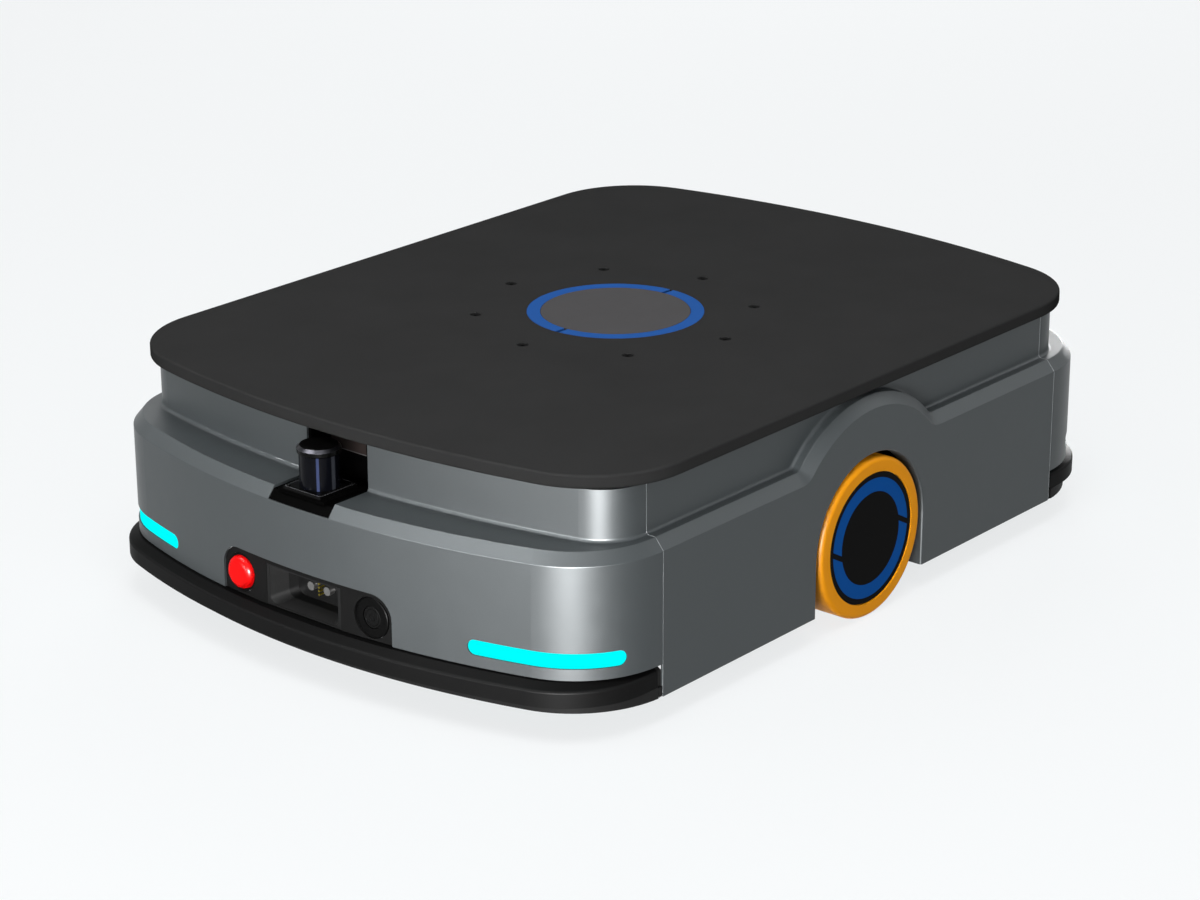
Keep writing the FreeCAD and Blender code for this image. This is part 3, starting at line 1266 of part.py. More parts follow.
def casters():
    """Four swivel casters: top plates on the deck, and a fork and a wheel each."""
    bearing_under = size.deck_under - size.caster_plate_thick - size.bearing_height
    crown_top = bearing_under - size.swivel_gap
    plates = []
    corners = (("front_left", 1, 1), ("front_right", 1, -1), ("rear_left", -1, 1), ("rear_right", -1, -1))
    for name, sx, sy in corners:
        x = sx * caster_x
        y = sy * caster_y
        plate = block((size.caster_plate, size.caster_plate, size.caster_plate_thick),
                      (x, y, size.deck_under - size.caster_plate_thick))
        bearing = cylinder(size.bearing_radius, size.bearing_height + OVERSHOOT, (x, y, bearing_under))
        bore_length = size.bearing_height + size.kingpin_bite + 2 * OVERSHOOT
        bore = cylinder(size.kingpin_radius + size.running_fit, bore_length, (x, y, bearing_under - OVERSHOOT))
        plates.append(cut(fuse(plate, bearing), bore))
        axle_x = x - size.caster_trail
        leg_y = size.caster_width / 2 + size.fork_gap + size.fork_leg / 2
        crown = cylinder(size.fork_crown, size.fork_crown_thick, (x, y, crown_top - size.fork_crown_thick))
        kingpin_length = size.swivel_gap + size.bearing_height + size.kingpin_bite
        kingpin = cylinder(size.kingpin_radius, kingpin_length, (x, y, crown_top))
        legs = []
        for side in (-1, 1):
            drop = block((size.fork_leg_width, size.fork_leg, crown_top - size.caster_radius),
                         (axle_x, y + side * leg_y, size.caster_radius))
            toe = cylinder(size.fork_leg_width / 2, size.fork_leg,
                           (axle_x, y + side * leg_y - size.fork_leg / 2, size.caster_radius), "y")
            bridge = block((size.caster_trail + size.fork_leg_width / 2, size.fork_leg, size.fork_crown_thick),
                           (axle_x + size.caster_trail / 2 - size.fork_leg_width / 4, y + side * leg_y,
                            crown_top - size.fork_crown_thick))
            legs += [drop, toe, bridge]
        roof = block((size.fork_leg_width, 2 * leg_y, size.fork_crown_thick),
                     (axle_x, y, crown_top - size.fork_crown_thick))
        axle = cylinder(size.caster_axle, 2 * leg_y, (axle_x, y - leg_y, size.caster_radius), "y")
        finish(f"{name}_caster_fork", fuse(crown, kingpin, roof, axle, *legs))
        start = y - size.caster_width / 2
        wheel = tube(size.caster_radius, size.caster_axle + size.running_fit, size.caster_width,
                     (axle_x, start, size.caster_radius), "y")
        wheel = rounded(wheel, (size.caster_tread, circle_at("y", start, size.caster_radius)),
                        (size.caster_tread, circle_at("y", start + size.caster_width, size.caster_radius)))
        finish(f"{name}_caster_wheel", wheel)
    finish("caster_plates", group(*plates))


# ---- lift and turntable ----

def involute_gear(module, teeth, thick, bore, at, phase=0.0):
    """A spur gear with involute flanks; a tooth points along +X before the phase turns it."""
    count = int(round(teeth.number))
    pitch = (module * teeth / 2).number
    tip = pitch + module.number
    root = pitch - DEDENDUM * module.number
    base = pitch * math.cos(PRESSURE_ANGLE)
    half_tooth = math.pi / (2 * count) + math.tan(PRESSURE_ANGLE) - PRESSURE_ANGLE
    start = max(root, base)

    def flank(radius, side):
        roll = math.sqrt(max((radius / base) ** 2 - 1, 0))
        angle = side * (half_tooth - (roll - math.atan(roll)))
        return radius, angle

    def point(radius, angle, turn):
        return FreeCAD.Vector(radius * math.cos(angle + turn), radius * math.sin(angle + turn), 0)

    edges = []
    for tooth in range(count):
        turn = 2 * math.pi * tooth / count + math.radians(phase)
        following = turn + 2 * math.pi / count
        rising = [point(*flank(radius, -1), turn) for radius in (start, (start + tip) / 2, tip)]
        falling = [point(*flank(radius, 1), turn) for radius in (tip, (start + tip) / 2, start)]
        edges.append(Part.Arc(*rising).toShape())
        edges.append(Part.Arc(rising[2], point(tip, 0, turn), falling[0]).toShape())
        edges.append(Part.Arc(*falling).toShape())
        root_start = point(root, flank(start, 1)[1], turn)
        root_end = point(root, flank(start, -1)[1], following)
        next_start = point(*flank(start, -1), following)
        if start - root > CLOSE:
            edges.append(Part.makeLine(falling[2], root_start))
        mid = point(root, math.pi / count, turn)
        edges.append(Part.Arc(root_start, mid, root_end).toShape())
        if start - root > CLOSE:
            edges.append(Part.makeLine(root_end, next_start))
    face = Part.Face(Part.Wire(edges))
    solid = face.extrude(FreeCAD.Vector(0, 0, as_dim(thick).number))
    hole = Part.makeCylinder(as_dim(bore).number, FAR, FreeCAD.Vector(0, 0, -FAR / 2))
    gear = doc.addObject("Part::Feature", "gear")
    gear.Shape = solid.cut(hole)
    return place(gear, at)


def lift():
    """The lift: a column raised by a rotating nut gear, guided by four posts."""
    gear_z = deck_top + size.housing_plate + size.gear_gap
    column_bore = size.column_radius - size.column_wall
    head_top = platform_under - size.slew_ring_thick - size.bearing_gap
    head_under = head_top - size.head_thick
    stem = cylinder(size.column_radius, head_top - size.column_bottom, (0, 0, size.column_bottom))
    head = cylinder(size.head_radius, size.head_thick, (0, 0, head_under))
    arm_half = size.slew_motor_radius + size.slew_arm_margin
    arm = span((0, -arm_half, head_under), (slew_x + arm_half, arm_half, head_top))
    spigot = cylinder(size.slew_ring_bore - size.bearing_gap, size.slew_ring_thick - size.bearing_gap,
                      (0, 0, head_top))
    spots = [(math.cos(math.radians(angle)), math.sin(math.radians(angle))) for angle in (45, 135, 225, 315)]
    sleeves = [cylinder(size.sleeve_radius, head_under + OVERSHOOT - size.sleeve_bottom,
                        (size.post_circle * cx, size.post_circle * cy, size.sleeve_bottom))
               for cx, cy in spots]
    bore_length = head_top - size.sleeve_crown - size.sleeve_bottom + OVERSHOOT
    bores = [cylinder(size.post_radius + size.running_fit, bore_length,
                      (size.post_circle * cx, size.post_circle * cy, size.sleeve_bottom - OVERSHOOT))
             for cx, cy in spots]
    hollow = head_top - size.column_crown - size.column_bottom + OVERSHOOT
    bore = cylinder(column_bore, hollow, (0, 0, size.column_bottom - OVERSHOOT))
    shaft_hole = cylinder(size.slew_shaft, 2 * as_dim(FAR), (slew_x, 0, -FAR))
    finish("lift_column", cut(fuse(stem, head, arm, spigot, *sleeves), bore, shaft_hole, *bores))
    post_top = size.sleeve_bottom + size.lift_travel + size.post_engagement
    posts = [cylinder(size.post_radius, post_top - deck_top,
                      (size.post_circle * cx, size.post_circle * cy, deck_top)) for cx, cy in spots]
    finish("lift_guide_posts", group(*posts))
    ring_bore = size.column_radius + size.column_clearance
    lower = tube(size.housing_radius, ring_bore, size.housing_plate, (0, 0, deck_top))
    upper_z = gear_z + size.nut_gear_height + size.gear_gap
    upper = tube(size.housing_radius, ring_bore, size.housing_plate, (0, 0, upper_z))
    pillar_circle = (size.housing_radius - size.pillar_radius - size.pillar_inset).number
    pillar_low = deck_top + size.housing_plate - OVERSHOOT
    pillars = []
    for angle in (0, 60, 120, 240, 300):
        spot_x = pillar_circle * math.cos(math.radians(angle))
        spot_y = pillar_circle * math.sin(math.radians(angle))
        pillar_length = upper_z + OVERSHOOT - pillar_low
        pillars.append(cylinder(size.pillar_radius, pillar_length, (spot_x, spot_y, pillar_low)))
    finish("lift_housing", fuse(lower, upper, *pillars))
    finish("lift_nut_gear", involute_gear(size.nut_module, size.nut_teeth, size.nut_gear_height,
                                          size.column_radius + size.running_fit, (0, 0, gear_z), 180))
    pinion_phase = 180 / size.lift_pinion_teeth.number
    finish("lift_pinion", involute_gear(size.nut_module, size.lift_pinion_teeth, size.nut_gear_height,
                                        size.lift_shaft + size.running_fit,
                                        (lift_motor_x, 0, gear_z), pinion_phase))
    motor_low = size.tub_floor + size.tub_wall + size.motor_floor_gap
    body = cylinder(size.lift_motor_radius, size.deck_under - motor_low, (lift_motor_x, 0, motor_low))
    shaft_low = size.deck_under - OVERSHOOT
    shaft_top = gear_z + size.nut_gear_height + size.shaft_overhang
    shaft = cylinder(size.lift_shaft, shaft_top - shaft_low, (lift_motor_x, 0, shaft_low))
    finish("lift_motor", fuse(body, shaft))
    turntable(head_top, head_under)


def turntable(head_top, head_under):
    """The turning ring and its pinion and motor, which ride on the lifted column."""
    ring_z = platform_under - size.slew_ring_thick
    ring = involute_gear(size.slew_module, size.slew_teeth, size.slew_ring_thick, size.slew_ring_bore,
                         (0, 0, ring_z))
    holes = [cylinder(size.screw_radius, FAR, (x, y, 0)) for x, y in screw_spots()]
    finish("slew_ring", cut(ring, *holes))
    pinion_phase = 180 + 180 / size.slew_pinion_teeth.number
    face = size.slew_ring_thick - 2 * size.gear_gap
    finish("slew_pinion", involute_gear(size.slew_module, size.slew_pinion_teeth, face,
                                        size.slew_shaft + size.running_fit,
                                        (slew_x, 0, head_top + size.gear_gap), pinion_phase))
    body = cylinder(size.slew_motor_radius, size.slew_motor_length,
                    (slew_x, 0, head_under - size.slew_motor_length))
    shaft = cylinder(size.slew_shaft, head_top + size.gear_gap + face - head_under, (slew_x, 0, head_under))
    finish("slew_motor", fuse(body, shaft))


def screw_spots():
    """The middle of each platform screw, in plan."""
    count = int(round(size.fixing_count.number))
    turns = [2 * math.pi * index / count for index in range(count)]
    return [(size.fixing_circle * math.cos(turn), size.fixing_circle * math.sin(turn)) for turn in turns]


def platform():
    """The load platform with its round cap and broken ring let into the top, and its screws."""
    body = new_body("platform_form")
    pad(body, PLATFORM.draw(body, platform_under), size.platform_thick)
    rims = Part.Compound([PLATFORM.wire(size.platform_top), PLATFORM.wire(platform_under)])
    fillet_in(body, size.platform_edge, lies_on(rims))
    pocket_z = size.platform_top - size.inlay_depth
    pocket = cylinder(size.ring_outer + size.inlay_gap, size.inlay_depth + OVERSHOOT, (0, 0, pocket_z))
    tools = [pocket]
    screws = []
    head_height = size.screw_head - size.screw_radius
    for x, y in screw_spots():
        top = size.platform_top - size.screw_sink
        tools.append(cylinder(size.screw_radius + size.screw_clearance, FAR, (x, y, 0)))
        tools.append(cone(size.screw_radius + size.screw_clearance, size.screw_head + size.screw_clearance,
                          head_height, (x, y, top - head_height)))
        sink = size.screw_sink + OVERSHOOT
        tools.append(cylinder(size.screw_head + size.screw_clearance, sink, (x, y, top)))
        head = cone(size.screw_radius, size.screw_head, head_height, (x, y, top - head_height))
        reach = size.platform_thick + size.slew_ring_thick / 2
        screws.append(fuse(head, cylinder(size.screw_radius, reach, (x, y, top - reach))))
    finish("platform_plate", cut(body, *tools))
    finish("platform_screws", group(*screws))
    finish("centre_disc", cylinder(size.disc_radius, size.inlay_depth, (0, 0, pocket_z)))
    ring = tube(size.ring_outer, size.ring_inner, size.inlay_depth, (0, 0, pocket_z))
    gap_width = size.ring_outer * math.radians(1) * size.ring_gap_angle
    finish("centre_ring", cut(ring, span((-FAR, -gap_width / 2, 0), (FAR, gap_width / 2, FAR))))


def electronics():
    """Battery and motor driver in the tub, and the control computer on the deck."""
    floor = size.tub_floor + size.tub_wall
    side = size.tub_half_length - size.tub_wall - size.tray_margin
    finish("battery_pack", block((size.battery_length, battery_width, size.battery_height),
                                 (side - size.battery_length / 2, 0, floor)))
    finish("motor_driver", block((size.driver_length, driver_width, size.driver_height),
                                 (size.driver_length / 2 - side, 0, floor)))
    finish("control_computer", block((size.computer_length, size.computer_width, size.computer_height),
                                     (-computer_back, 0, deck_top)))


def check_and_write():
    """Stop on any failed object or bad shape, then write each sub-part to its own file."""
    doc.recompute()
    for item in doc.Objects:
        if "Invalid" in item.State or "Error" in item.State:
            raise RuntimeError(f"{item.Name} ({item.Label}) failed: {item.State}")
    for item in finished:
        if item.Shape.isNull() or not item.Shape.isValid():
            raise RuntimeError(f"{item.Label} has no valid shape")
        if not item.Shape.Solids:
            raise RuntimeError(f"{item.Label} has no solid")
    os.makedirs("parts", exist_ok=True)
    for item in finished:
        item.Shape.exportStep(f"parts/{item.Label}.step")
        print(f"{item.Label}: {len(item.Shape.Solids)} solids, {item.Shape.Volume / 1000:.1f} cm3")


def build():
    """Make every sub-part, then check and write them."""
    end_covers()
    finish("right_cover", mirrored(left_cover(), (0, 1, 0)))
    light_strips()
    top_cover()
    front_panel()
    charge_socket()
    controls()
    scanner()
    chassis_frame()
    frame_pins()
    bumpers()
    drive_unit()
    casters()
    lift()
    platform()
    electronics()
    check_and_write()


build()
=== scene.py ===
"""Looks of an autonomous mobile robot with a lifting and turning platform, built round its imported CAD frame.

Metres, in the robot's own frame: the origin is on the floor under its middle, +X is the way it drives,
+Y its left side and +Z up.
"""

import logging
import math
from collections.abc import Iterable, Sequence
from dataclasses import dataclass, field
from enum import Enum
from typing import Any

import bmesh
import bpy
from mathutils import Matrix, Quaternion, Vector


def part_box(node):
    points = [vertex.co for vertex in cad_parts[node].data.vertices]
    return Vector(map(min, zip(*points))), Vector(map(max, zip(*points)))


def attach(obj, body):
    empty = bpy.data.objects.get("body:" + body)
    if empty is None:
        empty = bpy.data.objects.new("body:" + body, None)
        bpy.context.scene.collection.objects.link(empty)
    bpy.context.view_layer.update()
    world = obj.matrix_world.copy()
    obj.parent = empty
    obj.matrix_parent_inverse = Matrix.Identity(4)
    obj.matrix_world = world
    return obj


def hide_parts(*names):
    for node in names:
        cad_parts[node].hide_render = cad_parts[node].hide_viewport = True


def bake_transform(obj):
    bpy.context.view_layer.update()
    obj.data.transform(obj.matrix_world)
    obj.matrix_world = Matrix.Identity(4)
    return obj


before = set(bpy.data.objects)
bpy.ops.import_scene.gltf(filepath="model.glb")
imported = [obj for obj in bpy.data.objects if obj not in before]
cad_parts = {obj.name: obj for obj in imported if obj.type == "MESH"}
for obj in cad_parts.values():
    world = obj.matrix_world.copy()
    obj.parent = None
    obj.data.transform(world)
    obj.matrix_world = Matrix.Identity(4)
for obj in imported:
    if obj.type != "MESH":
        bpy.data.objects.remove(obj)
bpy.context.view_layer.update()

MM = 0.001
FULL_TURN = 2 * math.pi
SMOOTH_ANGLE = math.radians(35)
FINE_GRAIN = 1900
HAIR_DEPTH = 0.00001
SKIN_DEPTH = 0.00002
PEBBLE_DEPTH = 0.00003

log = logging.getLogger("robot")

Colour = tuple[float, float, float, float]


def srgb(red: int, green: int, blue: int) -> Colour:
    """Turns a colour written as 0 to 255 per channel into the renderer's linear light.

    Args:
        red: Red, 0 to 255.
        green: Green, 0 to 255.
        blue: Blue, 0 to 255.

    Returns:
        The linear colour with full opacity.
    """
    def linear(channel: int) -> float:
        """One channel in linear light."""
        share = channel / 255
        return share / 12.92 if share <= 0.04045 else ((share + 0.055) / 1.055) ** 2.4

    return linear(red), linear(green), linear(blue), 1.0


def grey(level: int) -> Colour:
    """A neutral colour of one level, 0 to 255."""
    return srgb(level, level, level)


def shaded(colour: Colour, factor: float) -> Colour:
    """A colour with its light multiplied by a factor."""
    return tuple(channel * factor for channel in colour[:3]) + (1.0,)


class Axis(Enum):
    """A direction of the robot's frame that a turned or extruded piece stands along."""

    FORWARD = (1, 0, 0)
    BACK = (-1, 0, 0)
    LEFT = (0, 1, 0)
    RIGHT = (0, -1, 0)
    UP = (0, 0, 1)
    DOWN = (0, 0, -1)


class Side(Enum):
    """The robot's left or right."""

    LEFT = 1
    RIGHT = -1

    @property
    def label(self) -> str:
        """The side's name as pieces and bodies use it."""
        return self.name.lower()

    @property
    def outward(self) -> Axis:
        """The direction that points out of the robot on this side."""
        return Axis.LEFT if self is Side.LEFT else Axis.RIGHT


class End(Enum):
    """The robot's front or rear."""

    FRONT = 1
    REAR = -1

    @property
    def label(self) -> str:
        """The end's name as pieces and bodies use it."""
        return self.name.lower()


class Slot(Enum):
    """The material slots of the record."""

    SHELL = "shell_paint"
    PLATFORM = "platform_black"
    CAP = "cap_grey"
    RING = "ring_blue"
    BUMPER = "bumper_black"
    TYRE = "tyre_orange"
    HUB_CAP = "hub_cap_black"
    PANEL = "panel_black"
    STOP = "stop_red"
    LIGHT = "light_cyan"
    CONTACT = "contact_metal"
    SCANNER = "scanner_black"
    WINDOW = "scanner_window"
    FRAME = "frame_steel"
    BRIGHT = "bright_steel"
    SCREW = "screw_black"
    MOTOR = "motor_grey"
    TREAD = "caster_tread"
    BATTERY = "battery_case"
    ELECTRONICS = "electronics_case"


# ---- shader expressions ----


class Signal:
    """One output of a shader node, which can be used in ordinary arithmetic."""

    def __init__(self, graph: "Graph", node: bpy.types.Node, output: str | int) -> None:
        """Wraps one output of a node.

        Args:
            graph: The graph that the node is in.
            node: The node.
            output: Name or number of its output.
        """
        self.graph = graph
        self.source = node
        self.output = output

    @property
    def socket(self) -> bpy.types.NodeSocket:
        """The node's output socket."""
        return self.source.outputs[self.output]

    def _math(self, operation: str, *values: "Signal | float") -> "Signal":
        """Adds one Math node over some values."""
        return self.graph.node("ShaderNodeMath", {"operation": operation}, dict(enumerate(values)))

    def __add__(self, other: "Signal | float") -> "Signal":
        """This plus another."""
        return self._math("ADD", self, other)

    __radd__ = __add__

    def __sub__(self, other: "Signal | float") -> "Signal":
        """This minus another."""
        return self._math("SUBTRACT", self, other)

    def __rsub__(self, other: float) -> "Signal":
        """A number minus this."""
        return self._math("SUBTRACT", other, self)

    def __mul__(self, other: "Signal | float") -> "Signal":
        """This times another."""
        return self._math("MULTIPLY", self, other)

    __rmul__ = __mul__

    def __gt__(self, other: "Signal | float") -> "Signal":
        """1 where this is the greater, else 0."""
        return self._math("GREATER_THAN", self, other)

    def __lt__(self, other: "Signal | float") -> "Signal":
        """1 where this is the smaller, else 0."""
        return self._math("LESS_THAN", self, other)

    def __abs__(self) -> "Signal":
        """This without its sign."""
        return self._math("ABSOLUTE", self)

    def root(self) -> "Signal":
        """The square root."""
        return self._math("SQRT", self)

    def above(self, limit: float, over: float) -> "Signal":
        """0 up to a limit, and 1 from a short way over it on."""
        return self.rescaled(limit, limit + over, 0.0, 1.0)

    def larger_of(self, other: "Signal | float") -> "Signal":
        """The larger of this and another."""
        return self._math("MAXIMUM", self, other)

    def rescaled(self, low: float, high: float, out_low: float, out_high: float) -> "Signal":
        """Carries one range smoothly over to another and holds it there.

        Args:
            low: Value that becomes out_low.
            high: Value that becomes out_high.
            out_low: Result at or below low.
            out_high: Result at or above high.

        Returns:
            The value in its new range.
        """
        limits = {"From Min": low, "From Max": high, "To Min": out_low, "To Max": out_high}
        return self.graph.node("ShaderNodeMapRange", {"interpolation_type": "SMOOTHSTEP"},
                               {"Value": self, **limits})


class Graph:
    """The node tree of a material or of the world."""

    def __init__(self, owner: bpy.types.Material | bpy.types.World) -> None:
        """Empties the owner's node tree.

        Args:
            owner: The material or world that the tree belongs to.
        """
        owner.use_nodes = True
        self.owner = owner
        self.tree = owner.node_tree
        self.tree.nodes.clear()

    @classmethod
    def of_material(cls, name: str) -> "Graph":
        """The graph of a new material."""
        return cls(bpy.data.materials.new(name))

    def node(self, kind: str, settings: dict[str, Any] | None = None,
             inputs: dict[str | int, Any] | None = None, output: str | int = 0) -> Signal:
        """Adds any node.

        Args:
            kind: Blender's name for the type of node.
            settings: Its settings, set before its sockets. "stops" holds a ramp's places and colours.
            inputs: A number, colour or Signal for each socket that differs from its default.
            output: The output that is wanted.

        Returns:
            That output.
        """
        made = self.tree.nodes.new(kind)
        for key, value in (settings or {}).items():
            if key == "stops":
                self._set_stops(made.color_ramp.elements, value)
            else:
                setattr(made, key, value)
        for key, value in (inputs or {}).items():
            if isinstance(value, Signal):
                self.tree.links.new(value.socket, made.inputs[key])
            else:
                made.inputs[key].default_value = value
        return Signal(self, made, output)

    @staticmethod
    def _set_stops(elements: bpy.types.ColorRampElements, stops: Sequence[tuple[float, Colour]]) -> None:
        """Gives a ramp its stops, of which there are two or more.

        Args:
            elements: The ramp's stops.
            stops: Their places and colours.
        """
        for _ in stops[2:]:
            elements.new(0.5)
        for element, (place, colour) in zip(elements, stops):
            element.position = place
            element.color = colour

    def place(self) -> Signal:
        """The place on the piece, in the robot's frame, in metres."""
        return self.node("ShaderNodeTexCoord", output="Object")

    def parts(self, vector: Signal) -> tuple[Signal, Signal, Signal]:
        """The three coordinates of a vector."""
        split = self.node("ShaderNodeSeparateXYZ", inputs={0: vector})
        return split, Signal(self, split.source, 1), Signal(self, split.source, 2)

    def stretched(self, vector: Signal, factors: tuple[float, float, float]) -> Signal:
        """A vector with each coordinate multiplied by its own factor."""
        return self.node("ShaderNodeVectorMath", {"operation": "MULTIPLY"}, {0: vector, 1: factors})

    def noise(self, vector: Signal, per_metre: float, detail: float = 2.0, roughness: float = 0.5) -> Signal:
        """Soft noise from 0 to 1.

        Args:
            vector: Where to read it.
            per_metre: How many features fit in a metre.
            detail: How many finer layers it has.
            roughness: How strong those layers are.

        Returns:
            The noise.
        """
        return self.node("ShaderNodeTexNoise", inputs={
            "Vector": vector, "Scale": per_metre, "Detail": detail, "Roughness": roughness})

    def cells(self, vector: Signal, per_metre: float) -> Signal:
        """Distance to the nearest of many scattered grains, 0 to about 1."""
        return self.node("ShaderNodeTexVoronoi", inputs={"Vector": vector, "Scale": per_metre},
                         output="Distance")

    def blend(self, share: Signal | float, first: Signal | Colour, second: Signal | Colour) -> Signal:
        """A colour between two others.

        Args:
            share: 0 for the first colour, 1 for the second.
            first: One colour.
            second: The other.

        Returns:
            The mixed colour.
        """
        return self.node("ShaderNodeMix", {"data_type": "RGBA"}, {0: share, 6: first, 7: second}, 2)

    def skin(self, colour: Signal | Colour, roughness: Signal | float, relief: Signal, depth: float,
             strength: float = 1.0, **more: Any) -> Signal:
        """A Principled shader with a bumped surface.

        Args:
            colour: Its base colour.
            roughness: Its roughness.
            relief: The relief, 0 to 1.
            depth: Metres from the relief's lowest to its highest.
            strength: Share of the relief that shows.
            **more: Its other sockets, named with underscores for their spaces.

        Returns:
            The shader.
        """
        bump = self.node("ShaderNodeBump", inputs={"Strength": strength, "Distance": depth, "Height": relief})
        named = {key.replace("_", " "): value for key, value in more.items()}
        return self.node("ShaderNodeBsdfPrincipled", inputs={
            "Base Color": colour, "Roughness": roughness, "Normal": bump, **named})

    def shows(self) -> Signal:
        """1 where the camera looks straight, through glass or by way of a reflection, else 0.

        Returns:
            The mask.
        """
        straight = self.node("ShaderNodeLightPath", output="Is Camera Ray")
        mirrored = Signal(self, straight.source, "Is Glossy Ray")
        through = Signal(self, straight.source, "Is Transmission Ray")
        return straight.larger_of(mirrored).larger_of(through)

    def finish(self, shader: Signal) -> bpy.types.Material | bpy.types.World:
        """Ends the graph in a shader and returns its owner.

        Args:
            shader: The shader of its surface.

        Returns:
            The material or world.
        """
        is_world = isinstance(self.owner, bpy.types.World)
        self.node("ShaderNodeOutputWorld" if is_world else "ShaderNodeOutputMaterial",
                  inputs={"Surface": shader})
        return self.owner


# ---- finishes ----


@dataclass(frozen=True)
class Finish:
    """A surface finish: its name and what its material is made of."""

    name: str

    def shader(self, graph: Graph, place: Signal) -> Signal:
        """Writes the finish into a graph; each kind of finish has its own."""
        raise NotImplementedError

    def material(self) -> bpy.types.Material:
        """The finish's material, made once.

        Returns:
            The material.
        """
        known = bpy.data.materials.get(self.name)
        if known is not None:
            return known
        graph = Graph.of_material(self.name)
        return graph.finish(self.shader(graph, graph.place()))


@dataclass(frozen=True)
class SatinPaint(Finish):
    """Sprayed satin metallic paint with fine flakes and the faint waviness of a sprayed coat."""

    colour: Colour = srgb(60, 65, 67)
    flake: Colour = srgb(108, 112, 114)
    metal: float = 0.12
    roughness: float = 0.42
    specular: float = 0.2

    def shader(self, graph: Graph, place: Signal) -> Signal:
        """Writes the paint.

        Args:
            graph: The material's graph.
            place: The place on the piece, in metres.

        Returns:
            The shader.
        """
        flakes = graph.cells(place, 2600).rescaled(0.05, 0.35, 1.0, 0.0)
        drift = graph.noise(place, 7, 3.0)
        colour = graph.blend(flakes * 0.14 + drift * 0.05, self.colour, self.flake)
        waves = graph.noise(place, 420, 2.0)
        rough = self.roughness + (graph.noise(place, 60, 3.0) - 0.5) * 0.06
        return graph.skin(colour, rough, waves, SKIN_DEPTH, Metallic=self.metal,
                          Specular_IOR_Level=self.specular)


@dataclass(frozen=True)
class PowderCoat(Finish):
    """Baked powder coat with its fine pebbled skin."""

    colour: Colour = grey(52)
    grain: float = 1500
    depth: float = PEBBLE_DEPTH
    roughness: float = 0.72
    specular: float = 0.0

    def shader(self, graph: Graph, place: Signal) -> Signal:
        """Writes the powder coat.

        Args:
            graph: The material's graph.
            place: The place on the piece, in metres.

        Returns:
            The shader.
        """
        pebbles = graph.cells(place, self.grain)
        drift = graph.noise(place, 9, 4.0, 0.6)
        colour = graph.blend(drift, shaded(self.colour, 0.88), shaded(self.colour, 1.12))
        rough = self.roughness + (drift - 0.5) * 0.1
        return graph.skin(colour, rough, pebbles, self.depth, 0.6, Specular_IOR_Level=self.specular)


@dataclass(frozen=True)
class MouldedPlastic(Finish):
    """Moulded plastic: a spark-eroded grain, or polished where the grain is shallow."""

    colour: Colour = grey(24)
    roughness: float = 0.42
    grain: float = FINE_GRAIN
    depth: float = SKIN_DEPTH
    specular: float = 0.4

    def shader(self, graph: Graph, place: Signal) -> Signal:
        """Writes the plastic.

        Args:
            graph: The material's graph.
            place: The place on the piece, in metres.

        Returns:
            The shader.
        """
        grain = graph.noise(place, self.grain, 3.0, 0.6)
        handling = graph.noise(place, 28, 4.0, 0.6)
        lighter = tuple(min(1.0, channel * 1.18 + 0.001) for channel in self.colour[:3]) + (1.0,)
        colour = graph.blend(handling * 0.6, self.colour, lighter)
        rough = self.roughness + (handling - 0.5) * 0.12
        return graph.skin(colour, rough, grain, self.depth, 0.5, Specular_IOR_Level=self.specular)


@dataclass(frozen=True)
class BumperRubber(Finish):
    """Moulded bumper rubber: painted shade on the slope over the face, a paler lower lip, soft bloom and small
    scuffs.
    """

    colour: Colour = grey(21)
    scuff: Colour = grey(40)
    slope: Colour = grey(9)
    lip: Colour = grey(42)
    brow_height: float = 0.0545
    lip_height: float = 0.038
    specular: float = 0.018

    def shader(self, graph: Graph, place: Signal) -> Signal:
        """Writes the rubber.

        Args:
            graph: The material's graph.
            place: The place on the piece, in metres.

        Returns:
            The shader.
        """
        along = graph.stretched(place, (1.0, 1.0, 9.0))
        scuffs = graph.noise(along, 90, 5.0, 0.7).rescaled(0.62, 0.78, 0.0, 1.0)
        bloom = graph.noise(place, 14, 3.0)
        height = graph.parts(place)[2]
        face = graph.blend(scuffs * 0.22 + bloom * 0.12, self.colour, self.scuff)
        above_lip = graph.blend(height > self.lip_height, self.lip, face)
        # Painted shade: the slope above the brow is darker, for the shade under the cover's edge.
        upper = height.above(self.brow_height, 0.001)
        colour = graph.blend(upper, above_lip, self.slope)
        rough = 0.46 + scuffs * 0.18 + (bloom - 0.5) * 0.08
        grain = graph.noise(place, 1700, 2.0)
        return graph.skin(colour, rough, grain, SKIN_DEPTH, 0.5, Specular_IOR_Level=self.specular)


@dataclass(frozen=True)
class Polyurethane(Finish):
    """Cast polyurethane tread, which dulls where it rolls."""

    colour: Colour = srgb(248, 160, 16)
    worn: Colour = srgb(226, 142, 16)
    wheel_height: float = 0.085
    tread_from: float = 0.083

    def shader(self, graph: Graph, place: Signal) -> Signal:
        """Writes the polyurethane.

        Args:
            graph: The material's graph.
            place: The place on the piece, in metres.

        Returns:
            The shader.
        """
        across, _, height = graph.parts(place)
        above = height - self.wheel_height
        radius = (across * across + above * above).root()
        rolled = radius.above(self.tread_from, 0.002)
        dust = graph.noise(place, 120, 4.0, 0.6).rescaled(0.45, 0.75, 0.0, 1.0)
        cloud = graph.noise(place, 22, 2.0)
        colour = graph.blend(rolled * dust * 0.5 + cloud * 0.12, self.colour, self.worn)
        rough = 0.4 + rolled * dust * 0.2
        fine = graph.noise(graph.stretched(place, (1.0, 5.0, 1.0)), 500, 3.0)
        return graph.skin(colour, rough, fine, PEBBLE_DEPTH, 0.5, Specular_IOR_Level=0.05)


